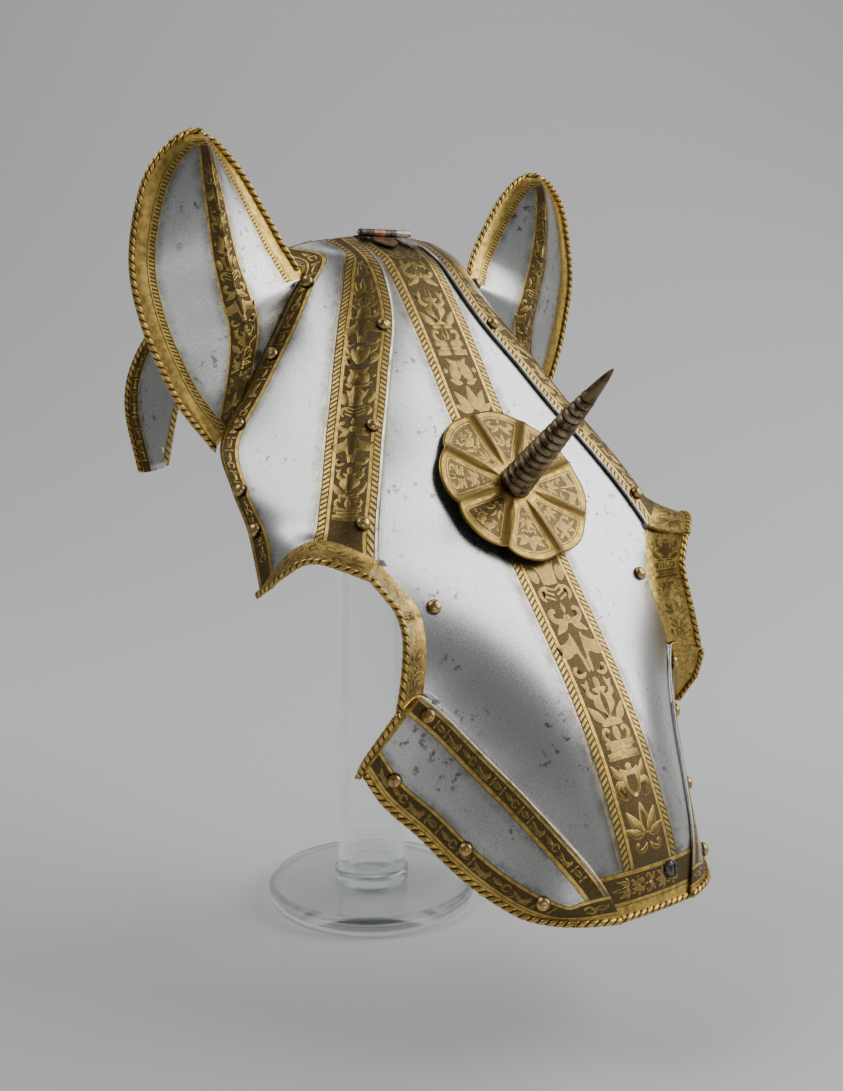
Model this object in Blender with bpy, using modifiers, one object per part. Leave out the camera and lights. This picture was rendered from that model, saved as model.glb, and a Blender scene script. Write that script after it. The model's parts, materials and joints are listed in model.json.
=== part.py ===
"""Shaffron, the plate armour of a horse's face, on a plain clear display stand.

Metres, Z up. The origin is the centre of the stand's underside. The horse faces -Y and its left
side is +X, so `side` is +1 for the left-hand pieces and -1 for the right-hand ones. The tables of
sections are in millimetres, poll to nose, and give the left half; the right half mirrors it.
"""
import math
from collections import namedtuple

import bmesh
import bpy
import numpy as np
from mathutils import Matrix, Vector

MM = 0.001
GAP = 0.4              # clearance between pieces that touch
PLATE = 1.2            # thickness of the steel plates
RIM = 4.0              # thickness of the turned and roped rims
RIM_WIDTH = 3.5        # width of that rim along the sheet
LAP = 12.0             # how far the main plate reaches under its neighbours
LAP_SINK = 0.8         # how far the end of that lap dips under them
LIFT = PLATE + 2 * GAP    # height of the covering plate's outer face over the main plate's
SIDES = {"left": 1, "right": -1}


def table(columns, rows):
    """Rows whose values carry the names of their columns."""
    section = namedtuple("section", columns)
    return [section(*row) for row in rows]


# ---------------------------------------------------------------- driving sections

# Front face: a midline point and the fall of the section 100 mm out from it.
FACE = table("y z fall", (
    (-12, 500.5, 22),
    (-35, 491, 28),
    (-50.5, 480.5, 30),
    (-73, 452.5, 20),
    (-95.5, 420.5, 12),
    (-119.5, 384.5, 8),
    (-141.5, 354, 6),
    (-162, 325, 6),
    (-183, 296, 8),
    (-204.5, 269, 15),
    (-226.5, 241.5, 27),
    (-246.5, 214, 38),
    (-264, 186.5, 47),
    (-279.5, 155.5, 48),
    (-291.5, 124.5, 38),
    (-297, 93, 18),
))

# Edge of the main plate: half width at a row of FACE, and what it meets there.
MAIN_EDGE = table("face_row half_width meets", (
    (0, 25, "temple"),
    (1, 25.5, "temple"),
    (2, 26.5, "temple"),
    (3, 33.5, "temple"),
    (4, 51, "temple"),
    (5, 72.5, "temple"),
    (6, 91, "temple"),
    (7, 107, "temple"),
    (7.62, 116, "temple"),
    (7.72, 114.5, "eye"),
    (8.15, 106, "eye"),
    (8.55, 99.5, "eye"),
    (9, 99, "eye"),
    (9.5, 102.5, "eye"),
    (9.95, 107, "eye"),
    (10.1, 102.5, "cheek"),
    (11, 86.5, "cheek"),
    (12, 71.5, "cheek"),
    (13, 56.5, "cheek"),
    (14, 41.5, "cheek"),
    (15, 29.5, "cheek"),
))

# Temple plate: front edge and ridge lie on the face (x at a row of FACE), the rear edge is free.
# `out` and `up` crown the stretch between the ridge and the rear edge.
TEMPLE = table("face_row seam_x ridge_row ridge_x rear_x rear_y rear_z out up", (
    (0, 25, 0, 41, 82, 6, 486, 0, 2),
    (1.2, 25.5, 1.2, 40, 69, -19, 479, 0, 3),
    (2.3, 27.5, 2.3, 45, 85, -24, 455, 2, 1),
    (3.3, 37, 3.3, 62, 102, -28, 429, 3, 0),
    (4.3, 57, 4.3, 81, 123, -32, 398, 3, 0),
    (5.4, 80, 5.4, 103.5, 147, -37, 363, 3, 0),
    (6.6, 101, 6.6, 123.5, 155, -64, 337, 3, 0),
    (7.25, 111, 7.05, 130, 158, -89, 313, 3, 3),
    (7.62, 116, 7.25, 133.5, 165.5, -115.5, 281, 2, 14),
))

# Cheek plate: the upper edge lies on the face, the lower edge is free.
CHEEK = table("face_row seam_x edge_x edge_y edge_z", (
    (9.95, 107, 136, -180.5, 175),
    (10.5, 95, 126, -188.5, 156),
    (11.3, 82, 113, -206.5, 139),
    (12.1, 70, 103, -222.5, 123),
    (12.9, 58, 92, -238.5, 109),
    (13.7, 46, 79.5, -258.5, 98),
    (14.4, 36, 68.5, -272.5, 95),
    (15, 29.5, 57.5, -286, 94.5),
))
CHEEK_CROWN = 2.0

# Eye guard: how far, and which way, the turned-out flange reaches from each plate's eye edge.
MAIN_FLANGE = table("place x y z", (
    (7.72, 21, -21, -4),
    (8.55, 25, -12, 3),
    (9, 24, -11, 3),
    (9.95, 25, -8, -5),
))
TEMPLE_FLANGE = table("place x y z", (
    (0, 21, -21, -6),
    (0.34, 22, -16, -7),
    (0.7, 14, -13, -12),
    (0.85, 10, -8, -11),
    (1, 4, -2, -4),
))
CHEEK_FLANGE = table("place x y z", (
    (0, 25, -8, -6),
    (0.5, 18, -4, -5),
    (0.75, 12, -1, -3),
    (1, 5, 0, -1),
))

# Ear guard: inner rim, keel and outer rim of each section, tip to base.
EAR = table("inner_x inner_y inner_z keel_x keel_y keel_z outer_x outer_y outer_z", (
    (143, -6, 559, 146, -13, 560, 150, -9, 559),
    (128, -6, 552, 145, -22, 550, 165, -6, 552),
    (112, -6, 537, 144, -27, 531, 181, -3, 534),
    (98, -7, 517, 141, -30, 507, 190, -1, 507),
    (86, -9, 498, 137, -31, 483, 194, -1, 477),
    (79, -13, 481, 130, -31, 459, 190, -2, 449),
    (92, -20, 455, 124, -31, 437, 180, -5, 418),
    (112, -25, 422, 128, -29, 408, 164, -9, 385),
    (135, -27, 380, 139, -27, 369, 144, -20, 357),
))
EAR_RISE = {1: -7.0, -1: 5.0}    # the two tips stand at unequal heights
EAR_TAB = 11.0         # width of the tab that is riveted behind the temple plate

# Poll plate: front and rear edge of each section, from the crest down one side.
POLL = table("front_x front_y front_z rear_x rear_y rear_z hollow", (
    (0, -8, 500, 0, 108, 485, 0),
    (26, -8, 498.5, 32, 111, 482, 0),
    (56, 7, 492, 64, 121, 469, 1),
    (86, 32, 468, 92, 138, 445, 3),
    (103, 62, 430, 108, 160, 410, 5),
    (109, 86, 387, 113, 168, 373, 6),
    (111, 108, 335, 112, 150, 323, 5),
))

POLL_HOLE_Y, POLL_HOLE_Z = 126.0, 343.0    # small strap hole low in each wing
POLL_HOLE_RADIUS = 2.2
POLL_HOLE_REACH = 150.0

# Rivets: which surface, its two coordinates, as (row, x) on the face or (row, across) on a plate.
RIVETS = table("name surface row across", (
    ("band_upper", "temple", 3.05, 0.13),
    ("band_middle", "temple", 4.75, 0.15),
    ("band_lower", "temple", 6.5, 0.18),
    ("rear_1", "temple", 1.65, 0.89),
    ("rear_2", "temple", 3.35, 0.93),
    ("rear_3", "temple", 4.65, 0.93),
    ("rear_4", "temple", 6.0, 0.94),
    ("rear_5", "temple", 7.0, 0.94),
    ("eye", "face", 8.6, 89),
    ("cheek_upper", "cheek", 0.47, 0.11),
    ("cheek_rear", "cheek", 0.82, 0.76),
    ("cheek_lower", "cheek", 3.05, 0.76),
    ("cheek_front", "cheek", 5.2, 0.7),
))
RIVET_RADIUS = 4.7
RIVET_HEIGHT = 4.0
RIVET_STEPS = 8

# Rosette and spike stand on the midline of the face.
ROSETTE_ROW = 6.6
ROSETTE_X = 2.0
ROSETTE_RADIUS = 54.5   # at the ribs; the lobes between them reach ROSETTE_LOBE further
ROSETTE_LOBE = 3.0
ROSETTE_LOBES = 8
ROSETTE_TURN = math.radians(11)
ROSETTE_LEAN = math.radians(3)    # from the plate's normal, towards the poll
ROSETTE_CLEAR = 5.0    # how far its edge stands off the plate
ROSETTE_RISE = 0.6     # how far its middle stands over its edge
ROSETTE_THICK = 1.5
ROSETTE_RIB = 2.6
SPIKE_LENGTH = 116.0
SPIKE_LEAN = math.radians(4)      # from the rosette's own axis
SPIKE_RADIUS = 10.6
SPIKE_TURNS = 15
SPIKE_GROOVE = 0.9
SPIKE_PLAIN = 0.2      # share of the length, at the tip, that has no spiral
NOSE_SCREW_ROW = 14.3
NOSE_SCREW_X = 15.0

# Hinge of the poll plate: knuckles along X, on the front leaves or the rear ones.
HINGE_Y, HINGE_Z = -15.0, 503.8
KNUCKLE_RADIUS = 2.6
PIN_RADIUS = 1.2
LEAF_LENGTH = 20.0
LEAF_THICK = 1.0
KNUCKLES = table("name start end leaf_half_width direction slope", (
    ("hinge_rear_leaf_a", -21, -10.4, 6.5, 1, 6),
    ("hinge_front_leaf_a", -10, 0, 9, -1, 22),
    ("hinge_rear_leaf_b", 0.4, 9.4, 7, 1, 6),
    ("hinge_front_leaf_b", 9.8, 20.4, 8, -1, 22),
))

# Stand.
DISC_RADIUS, DISC_THICK, DISC_ROUND = 80.0, 14.0, 5.0
ROD_RADIUS, ROD_TOP = 26.0, 459.0
RING_RADIUS, RING_HEIGHT = 28.5, 9.0
REST_HALF, REST_BACK_Y, REST_DEPTH = 16.0, 22.0, 26.0


# ---------------------------------------------------------------- scene and materials

def clear_scene():
    for thing in list(bpy.data.objects):
        bpy.data.objects.remove(thing, do_unlink=True)


def material(name, colour, roughness, metallic, transmission=0.0):
    made = bpy.data.materials.new(name)
    made.use_nodes = True
    shader = made.node_tree.nodes["Principled BSDF"]
    shader.inputs["Base Color"].default_value = (*colour, 1.0)
    shader.inputs["Roughness"].default_value = roughness
    shader.inputs["Metallic"].default_value = metallic
    shader.inputs["Transmission Weight"].default_value = transmission
    return made


clear_scene()
collection = bpy.data.collections.new("shaffron_on_stand")
bpy.context.scene.collection.children.link(collection)
STEEL = material("bright_steel", (0.56, 0.57, 0.56), 0.38, 1.0)
GILT = material("etched_gilt", (0.62, 0.44, 0.16), 0.4, 1.0)
BRASS = material("rivet_brass", (0.50, 0.36, 0.15), 0.3, 1.0)
DARK_STEEL = material("russet_steel", (0.13, 0.09, 0.06), 0.45, 1.0)
CLEAR = material("clear_acrylic", (0.92, 0.94, 0.95), 0.04, 0.0, 1.0)
PLAIN = material("plain_support", (0.75, 0.75, 0.74), 0.6, 0.0)


# ---------------------------------------------------------------- surfaces

def spline(sections, at):
    """Smooth curve through a table's rows (Catmull-Rom); `at` is a row number and may be a fraction."""
    rows = [np.array(section, float) for section in sections]
    rows = [2 * rows[0] - rows[1]] + rows + [2 * rows[-1] - rows[-2]]
    first = min(max(int(at), 0), len(sections) - 2)
    t = at - first
    before, start, end, after = rows[first:first + 4]
    return 0.5 * (2 * start + (end - before) * t + (2 * before - 5 * start + 4 * end - after) * t ** 2
                  + (3 * start - before - 3 * end + after) * t ** 3)


def blend_rows(sections, value):
    """Straight-line reading of a table whose first column rises; returns the other number columns."""
    keys = [section[0] for section in sections]
    columns = zip(*[[number for number in section[1:] if not isinstance(number, str)] for section in sections])
    return np.array([np.interp(value, keys, column) for column in columns])


def face(row, x):
    """Point of the front face, x mm out from the midline."""
    y, z, fall = spline(FACE, row)
    step = spline(FACE, row + 0.01) - spline(FACE, row - 0.01)
    along = step[:2] / np.linalg.norm(step[:2])
    sink = fall * (x / 100) ** 2
    return np.array([x, y - along[1] * sink, z + along[0] * sink])


RIDGE = 0.34           # share of the temple plate's width that lies in front of its ridge


def temple(row, across):
    """Point of the temple plate's outer side; across runs from its front edge (0) to its rear edge (1)."""
    face_row, seam_x, ridge_row, ridge_x, *rest = spline(TEMPLE, row)
    share = min(across / RIDGE, 1)
    front = face(face_row + (ridge_row - face_row) * share, seam_x + (ridge_x - seam_x) * share)
    if across <= RIDGE:
        return front
    rear, out, up = np.array(rest[:3]), rest[3], rest[4]
    share = (across - RIDGE) / (1 - RIDGE)
    crown = 4 * share * (1 - share) * (out * np.array([0.91, -0.41, 0]) + up * np.array([0, 0, 1]))
    return front + (rear - front) * share + crown


def cheek(row, across):
    """Point of the cheek plate's outer side; across runs from its upper edge (0) to its lower edge (1)."""
    face_row, seam_x, *edge = spline(CHEEK, row)
    seam = face(face_row, seam_x)
    crown = CHEEK_CROWN * 4 * across * (1 - across) * np.array([0.62, -0.73, 0.27])
    return seam + (np.array(edge) - seam) * across + crown


def mirrored(point, side):
    return np.array([point[0] * side, point[1], point[2]])


def outward(surface, row, across, side):
    """Unit normal of a surface, pointing away from the horse."""
    step = 0.02
    down = surface(row + step, across) - surface(row - step, across)
    wide = step * (100 if surface is face else 1)
    out = surface(row, across + wide) - surface(row, across - wide)
    normal = np.cross(down, out)
    normal = normal / np.linalg.norm(normal)
    if normal[1] > 0 or (abs(normal[1]) < 0.3 and normal[2] < 0):
        normal = -normal
    return mirrored(normal, side)


# ---------------------------------------------------------------- sheet-metal helpers

def grid_sheet(rows, columns, place):
    """Open sheet of rows x columns cells; place(row, column) gives each corner in mm."""
    bm = bmesh.new()
    bmesh.ops.create_grid(bm, x_segments=columns, y_segments=rows, size=1)
    corners = {}
    for vert in bm.verts:
        corners[round((vert.co.y + 1) / 2 * rows), round((vert.co.x + 1) / 2 * columns)] = vert
    for (row, column), vert in corners.items():
        vert.co = Vector(place(row, column)) * MM
    return bm, corners


def draw_out(bm, run, reaches, steps):
    """Extrude a run of edge corners; each moves by its reach (mm) times every share in steps."""
    starts = [vert.co.copy() for vert in run]
    for share in steps:
        edges = [bm.edges.get(pair) for pair in zip(run, run[1:])]
        made = bmesh.ops.extrude_edge_only(bm, edges=edges)["geom"]
        fresh = [item for item in made if isinstance(item, bmesh.types.BMVert)]
        run = [min(fresh, key=lambda new, old=vert: (new.co - old.co).length) for vert in run]
        for vert, start, reach in zip(run, starts, reaches):
            vert.co = start + Vector(reach) * MM * share
    return run


def finish_sheet(name, bm, look, outside, rim=(), lift=0.0):
    """Turn the sheet's faces towards `outside`, raise it by `lift` mm and give it the plate's thickness."""
    rim = set(rim)
    weights = bm.verts.layers.float.new("rim")
    for vert in bm.verts:
        vert[weights] = 1.0 if vert in rim else 0.0
    bmesh.ops.recalc_face_normals(bm, faces=bm.faces[:])
    bm.faces.ensure_lookup_table()
    probe = max(bm.faces, key=lambda each: each.calc_area())
    if probe.normal.dot(Vector(outside)) < 0:
        bmesh.ops.reverse_faces(bm, faces=bm.faces[:])
    bm.normal_update()
    if lift:
        shifts = [(vert, vert.normal * lift * MM) for vert in bm.verts]
        for vert, shift in shifts:
            vert.co += shift
    rim_share = [vert[weights] for vert in bm.verts]
    mesh = bpy.data.meshes.new(name)
    bm.to_mesh(mesh)
    bm.free()
    plate = bpy.data.objects.new(name, mesh)
    collection.objects.link(plate)
    mesh.materials.append(look)
    mesh.shade_smooth()
    group = plate.vertex_groups.new(name="rim")
    for index, share in enumerate(rim_share):
        group.add([index], share, "REPLACE")
    solid = plate.modifiers.new("thickness", "SOLIDIFY")
    solid.thickness = RIM * MM
    solid.vertex_group = "rim"
    solid.thickness_vertex_group = PLATE / RIM
    solid.offset = -1
    return plate


def turned(name, profile, look, steps):
    """Solid of revolution about Z from (radius, height) pairs in mm, top to bottom on the outer side."""
    mesh = bpy.data.meshes.new(name)
    points = [(radius * MM, 0, height * MM) for radius, height in profile]
    mesh.from_pydata(points, [(i, i + 1) for i in range(len(points) - 1)], [])
    made = bpy.data.objects.new(name, mesh)
    collection.objects.link(made)
    mesh.materials.append(look)
    screw = made.modifiers.new("turning", "SCREW")
    screw.steps = screw.render_steps = steps
    screw.use_merge_vertices = True
    screw.merge_threshold = 0.00002
    return made


def place_on(thing, point, normal):
    """Stand a piece that was made along +Z on a point (mm) along a normal."""
    turn = Vector(normal).to_track_quat("Z", "Y").to_matrix().to_4x4()
    thing.matrix_world = Matrix.Translation(Vector(point) * MM) @ turn


# ---------------------------------------------------------------- plates

FLANGE_STEPS = (0.4, 0.87, 1.0)


def edge_rows():
    """Rows of the main plate: the rows of MAIN_EDGE, one more between wide ones, and the rim's own."""
    keys = [section.face_row for section in MAIN_EDGE]
    rows = []
    for start, end in zip(keys, keys[1:]):
        rows.append(start)
        if end - start > 0.8:
            rows.append((start + end) / 2)
    return rows + [keys[-1] - RIM_WIDTH / 29, keys[-1]]


def meets(row):
    return [section.meets for section in MAIN_EDGE if section.face_row <= row + 1e-6][-1]


def lap_point(row, side):
    """Point of the main plate LAP mm past its edge, on the surface of the plate that covers it."""
    sections, surface = (TEMPLE, temple) if meets(row) == "temple" else (CHEEK, cheek)
    plate_row = np.interp(row, [section.face_row for section in sections], range(len(sections)))
    start, end = surface(plate_row, 0), surface(plate_row, RIDGE)
    across = RIDGE * LAP / np.linalg.norm(end - start)
    return mirrored(surface(plate_row, across), side) - outward(surface, plate_row, across, side) * LAP_SINK


def main_plate():
    rows = edge_rows()
    half_columns = 7

    def place(row, column):
        return face(rows[row], blend_rows(MAIN_EDGE, rows[row])[0] * (column / half_columns - 1))

    bm, corners = grid_sheet(len(rows) - 1, 2 * half_columns, place)
    rim = [corners[len(rows) - 1, column] for column in range(2 * half_columns + 1)]
    for side in SIDES.values():
        column = half_columns * (1 + side)
        for kind in ("temple", "cheek"):
            wanted = [index for index, row in enumerate(rows) if meets(row) == kind]
            run = [corners[index, column] for index in wanted]
            reaches = [lap_point(rows[index], side) - np.array(vert.co) / MM for index, vert in zip(wanted, run)]
            draw_out(bm, run, reaches, (1.0,))
        wanted = [index for index, row in enumerate(rows) if meets(row) == "eye"]
        run = [corners[index, column] for index in wanted]
        reaches = [mirrored(blend_rows(MAIN_FLANGE, rows[index]), side) for index in wanted]
        rim += draw_out(bm, run, reaches, FLANGE_STEPS)
    return finish_sheet("main_plate", bm, STEEL, (0, -1, 0.5), rim)


def temple_plate(name, side):
    shares = (0, 0.17, RIDGE, 0.5, 0.66, 0.83, 1)
    rows = 16

    def place(row, column):
        return mirrored(temple(row * (len(TEMPLE) - 1) / rows, shares[column]), side)

    bm, corners = grid_sheet(rows, len(shares) - 1, place)
    run = [corners[rows, column] for column in range(len(shares))]
    reaches = [mirrored(blend_rows(TEMPLE_FLANGE, share), side) for share in shares]
    rim = draw_out(bm, run, reaches, FLANGE_STEPS)
    return finish_sheet(name, bm, STEEL, (side, -0.4, 0.2), rim, LIFT)


def cheek_plate(name, side):
    shares = (0, 0.25, 0.5, 0.75, 0.93, 1)
    last = len(CHEEK) - 1
    rows = [step * 0.5 for step in range(2 * last)] + [last - 0.12, last]

    def place(row, column):
        return mirrored(cheek(rows[row], shares[column]), side)

    bm, corners = grid_sheet(len(rows) - 1, len(shares) - 1, place)
    run = [corners[0, column] for column in range(len(shares))]
    reaches = [mirrored(blend_rows(CHEEK_FLANGE, share), side) for share in shares]
    rim = draw_out(bm, run, reaches, FLANGE_STEPS)
    rim += [corners[row, len(shares) - 1] for row in range(len(rows))]
    rim += [corners[len(rows) - 1, column] for column in range(len(shares))]
    return finish_sheet(name, bm, STEEL, (side, -1, 0.3), rim, LIFT)


# ---------------------------------------------------------------- ear guards and poll plate

EAR_COVERED = 5.4      # first row of EAR whose inner edge lies behind the temple plate
EAR_DEPTH = 2.4        # how far behind that plate's face it lies


def ear_behind(row, width):
    """Point behind the temple plate's rear edge, `width` mm in from it, for a covered row of EAR."""
    temple_row = np.interp(row, (EAR_COVERED, len(EAR) - 1), (1.3, 4.75))
    span = np.linalg.norm(temple(temple_row, 1) - temple(temple_row, RIDGE)) / (1 - RIDGE)
    across = 1 - width / span
    return temple(temple_row, across) - EAR_DEPTH * outward(temple, temple_row, 0.85, 1)


def ear(row, across, side):
    """Point of the ear's front: across runs from the inner rim (0) over the keel (0.5) to the outer rim (1)."""
    values = spline(EAR, row)
    inner, keel, outer = values[:3], values[3:6], values[6:]
    if row >= EAR_COVERED:
        inner = ear_behind(row, 0)
    share = abs(2 * across - 1)
    flare = 4 * max(0, (share - 0.75) / 0.25) ** 2 * min(1, row + 0.2)
    if across < 0.5 and row >= EAR_COVERED:
        flare = 0
    rise = EAR_RISE[side] * max(0, 1 - row / EAR_COVERED)
    point = keel + ((inner if across < 0.5 else outer) - keel) * share + np.array([0, -flare, rise])
    return mirrored(point, side)


def ear_guard(name, side):
    shares = (0, 0.05, 0.27, 0.5, 0.73, 0.95, 1)
    rows = [0, 0.15, 0.5, 1, 1.5, 2, 2.5, 3, 3.5, 4, 4.5, 5, EAR_COVERED, 6, 6.5, 7, 7.5, 7.88, 8]

    def place(row, column):
        return ear(rows[row], shares[column], side)

    bm, corners = grid_sheet(len(rows) - 1, len(shares) - 1, place)
    covered = [index for index, row in enumerate(rows) if row >= EAR_COVERED]
    run = [corners[index, 0] for index in covered]
    reaches = [mirrored(ear_behind(rows[index], EAR_TAB) - ear_behind(rows[index], 0), side)
               for index in covered]
    draw_out(bm, run, reaches, (1.0,))
    rim = [corners[0, column] for column in range(len(shares))]
    rim += [corners[index, 0] for index, row in enumerate(rows) if row < EAR_COVERED - 0.5]
    rim += [corners[row, len(shares) - 1] for row in range(len(rows))]
    return finish_sheet(name, bm, STEEL, (0, -1, 0), rim)


def poll(row, across):
    """Point of the poll plate's outer side: row runs from the crest down one side, across front to rear."""
    *edges, hollow = spline(POLL, abs(row))
    front, rear = np.array(edges[:3]), np.array(edges[3:])
    turn = math.radians(80) * min(abs(row) / 4, 1)
    inward = np.array([-math.sin(turn), 0, -math.cos(turn)])
    flare = 3 * max(0, abs(2 * across - 1) - 0.8) / 0.2 * min(1, abs(row) / 3)
    point = front + (rear - front) * across + inward * (4 * hollow * across * (1 - across) - flare)
    return mirrored(point, -1 if row < 0 else 1)


def poll_plate():
    shares = (0, 0.04, 0.25, 0.5, 0.75, 0.96, 1)
    last = len(POLL) - 1
    rows = 4 * last

    def place(row, column):
        return poll(row / 2 - last, shares[column])

    bm, corners = grid_sheet(rows, len(shares) - 1, place)
    rim = [corners[row, column] for row in range(rows + 1) for column in (0, len(shares) - 1)
           if column or abs(row / 2 - last) > 1.6]
    plate = finish_sheet("poll_plate", bm, STEEL, (0, 0.1, 1), rim)
    hole = cylinder("poll_hole", POLL_HOLE_RADIUS, -POLL_HOLE_REACH, POLL_HOLE_REACH, None)
    hole.matrix_world = Matrix.Translation(Vector((0, POLL_HOLE_Y, POLL_HOLE_Z)) * MM)
    cut(plate, hole)
    axis = Matrix.Translation(Vector((0, HINGE_Y, HINGE_Z)) * MM)
    plate.data.transform(axis.inverted())
    plate.matrix_world = axis


# ---------------------------------------------------------------- rosette, spike and rivets

def rosette_axis():
    out = Vector(outward(face, ROSETTE_ROW, 0, 1))
    return Matrix.Rotation(-ROSETTE_LEAN, 3, "X") @ out


def rosette():
    """Fluted disc with raised ribs and a lobed edge, turned from a line and then shaped."""
    rings = (5.5, 12.0, 22.0, 34.0, 46.0, ROSETTE_RADIUS)
    steps = 6 * ROSETTE_LOBES
    bm = bmesh.new()
    verts = [bm.verts.new((radius, 0, 0)) for radius in rings]
    edges = [bm.edges.new(pair) for pair in zip(verts, verts[1:])]
    bmesh.ops.spin(bm, geom=verts + edges, axis=(0, 0, 1), cent=(0, 0, 0), steps=steps,
                   angle=2 * math.pi, use_merge=True)
    for vert in bm.verts:
        radius, angle = math.hypot(vert.co.x, vert.co.y), math.atan2(vert.co.y, vert.co.x)
        lobe = abs(math.sin(ROSETTE_LOBES / 2 * angle))
        share = max(0, (radius - rings[1]) / (ROSETTE_RADIUS - rings[1]))
        rib = ROSETTE_RIB * (1 - lobe) ** 3 * min(1, 3 * share)
        reach = radius + ROSETTE_LOBE * lobe * share ** 3
        height = ROSETTE_RISE * (1 - share) + rib
        vert.co = Vector((reach * math.cos(angle), reach * math.sin(angle), height)) * MM
    plate = finish_sheet("rosette", bm, GILT, (0, 0, 1))
    plate.modifiers["thickness"].thickness_vertex_group = ROSETTE_THICK / RIM
    place_on(plate, face(ROSETTE_ROW, ROSETTE_X) + outward(face, ROSETTE_ROW, 0, 1) * ROSETTE_CLEAR, rosette_axis())
    plate.matrix_world = plate.matrix_world @ Matrix.Rotation(ROSETTE_TURN, 4, "Z")


def spike():
    """Cone with one spiral groove, on a shank that runs through the rosette to the plate."""
    rows, columns = 46, 12
    shank = ROSETTE_CLEAR + ROSETTE_RISE - GAP
    seat = ROSETTE_CLEAR + ROSETTE_RISE + GAP

    def place(row, column):
        share = row / rows
        angle = 2 * math.pi * column / columns
        wave = math.cos(angle - 2 * math.pi * SPIKE_TURNS * share / (1 - SPIKE_PLAIN))
        groove = SPIKE_GROOVE * wave * (1 if share < 1 - SPIKE_PLAIN else 0) * (1 - 0.6 * share)
        radius = SPIKE_RADIUS * (1 - share) ** 0.55 + groove
        height = share * SPIKE_LENGTH
        return (radius * math.cos(angle), radius * math.sin(angle) + height * math.sin(SPIKE_LEAN),
                height * math.cos(SPIKE_LEAN))

    bm, corners = grid_sheet(rows, columns, place)
    bmesh.ops.remove_doubles(bm, verts=bm.verts[:], dist=0.00001)
    bottom = [edge for edge in bm.edges if edge.is_boundary and edge.verts[0].co.z < MM]
    made = bmesh.ops.extrude_edge_only(bm, edges=bottom)["geom"]
    ring = [item for item in made if isinstance(item, bmesh.types.BMVert)]
    bmesh.ops.scale(bm, vec=(0.36, 0.36, 1), verts=ring)
    bottom = [item for item in made if isinstance(item, bmesh.types.BMEdge)]
    made = bmesh.ops.extrude_edge_only(bm, edges=bottom)["geom"]
    ring = [item for item in made if isinstance(item, bmesh.types.BMVert)]
    bmesh.ops.translate(bm, vec=(0, 0, -shank * MM), verts=ring)
    bmesh.ops.holes_fill(bm, edges=[edge for edge in bm.edges if edge.is_boundary])
    bmesh.ops.recalc_face_normals(bm, faces=bm.faces[:])
    mesh = bpy.data.meshes.new("spike")
    bm.to_mesh(mesh)
    bm.free()
    made = bpy.data.objects.new("spike", mesh)
    collection.objects.link(made)
    mesh.materials.append(DARK_STEEL)
    mesh.shade_smooth()
    place_on(made, face(ROSETTE_ROW, ROSETTE_X) + outward(face, ROSETTE_ROW, 0, 1) * seat, rosette_axis())


def rivet_mesh():
    """Domed head, turned from its profile; every rivet shares it."""
    quarter = [(RIVET_RADIUS * math.cos(angle), RIVET_HEIGHT * math.sin(angle))
               for angle in np.linspace(0, math.pi / 2, 4)]
    head = turned("rivet_pattern", list(reversed(quarter)) + [(0, 0)], BRASS, RIVET_STEPS)
    graph = bpy.context.evaluated_depsgraph_get()
    mesh = bpy.data.meshes.new_from_object(head.evaluated_get(graph))
    bpy.data.objects.remove(head, do_unlink=True)
    mesh.shade_smooth()
    return mesh


def rivets():
    surfaces = {"face": face, "temple": temple, "cheek": cheek}
    mesh = rivet_mesh()
    for name, kind, row, across in RIVETS:
        surface = surfaces[kind]
        height = GAP if kind == "face" else GAP + LIFT
        for hand, side in SIDES.items():
            head = bpy.data.objects.new(f"rivet_{name}_{hand}", mesh)
            collection.objects.link(head)
            normal = outward(surface, row, across, side)
            place_on(head, mirrored(surface(row, across), side) + normal * height, normal)


def nose_screw():
    """Slotted round-headed screw at the middle of the nose."""
    head = turned("nose_screw", [(0, 3.2), (3.4, 3.0), (5.2, 1.6), (5.6, 0), (0, 0)], DARK_STEEL, 16)
    graph = bpy.context.evaluated_depsgraph_get()
    mesh = bpy.data.meshes.new_from_object(head.evaluated_get(graph))
    bpy.data.objects.remove(head, do_unlink=True)
    head = bpy.data.objects.new("nose_screw", mesh)
    collection.objects.link(head)
    normal = outward(face, NOSE_SCREW_ROW, NOSE_SCREW_X, 1)
    place_on(head, face(NOSE_SCREW_ROW, NOSE_SCREW_X) + normal * GAP, normal)
    cut(head, box("nose_screw_slot", (1.2, 14, 3), (0, 0, 3.2), head.matrix_world))


# ---------------------------------------------------------------- hinge

def box(name, size, centre, frame=None):
    bm = bmesh.new()
    bmesh.ops.create_cube(bm, size=1)
    bmesh.ops.scale(bm, vec=Vector(size) * MM, verts=bm.verts[:])
    bmesh.ops.translate(bm, vec=Vector(centre) * MM, verts=bm.verts[:])
    mesh = bpy.data.meshes.new(name)
    bm.to_mesh(mesh)
    bm.free()
    made = bpy.data.objects.new(name, mesh)
    collection.objects.link(made)
    if frame:
        made.matrix_world = frame
    return made


def cylinder(name, radius, start, end, look, sides=16):
    """Round bar along X on the hinge's axis, from start to end (mm)."""
    bm = bmesh.new()
    bmesh.ops.create_cone(bm, cap_ends=True, segments=sides, radius1=radius * MM, radius2=radius * MM,
                          depth=(end - start) * MM)
    bmesh.ops.rotate(bm, matrix=Matrix.Rotation(math.pi / 2, 3, "Y"), verts=bm.verts[:])
    bmesh.ops.translate(bm, vec=Vector(((start + end) / 2, 0, 0)) * MM, verts=bm.verts[:])
    mesh = bpy.data.meshes.new(name)
    bm.to_mesh(mesh)
    bm.free()
    made = bpy.data.objects.new(name, mesh)
    collection.objects.link(made)
    if look:
        mesh.materials.append(look)
    return made


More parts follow.
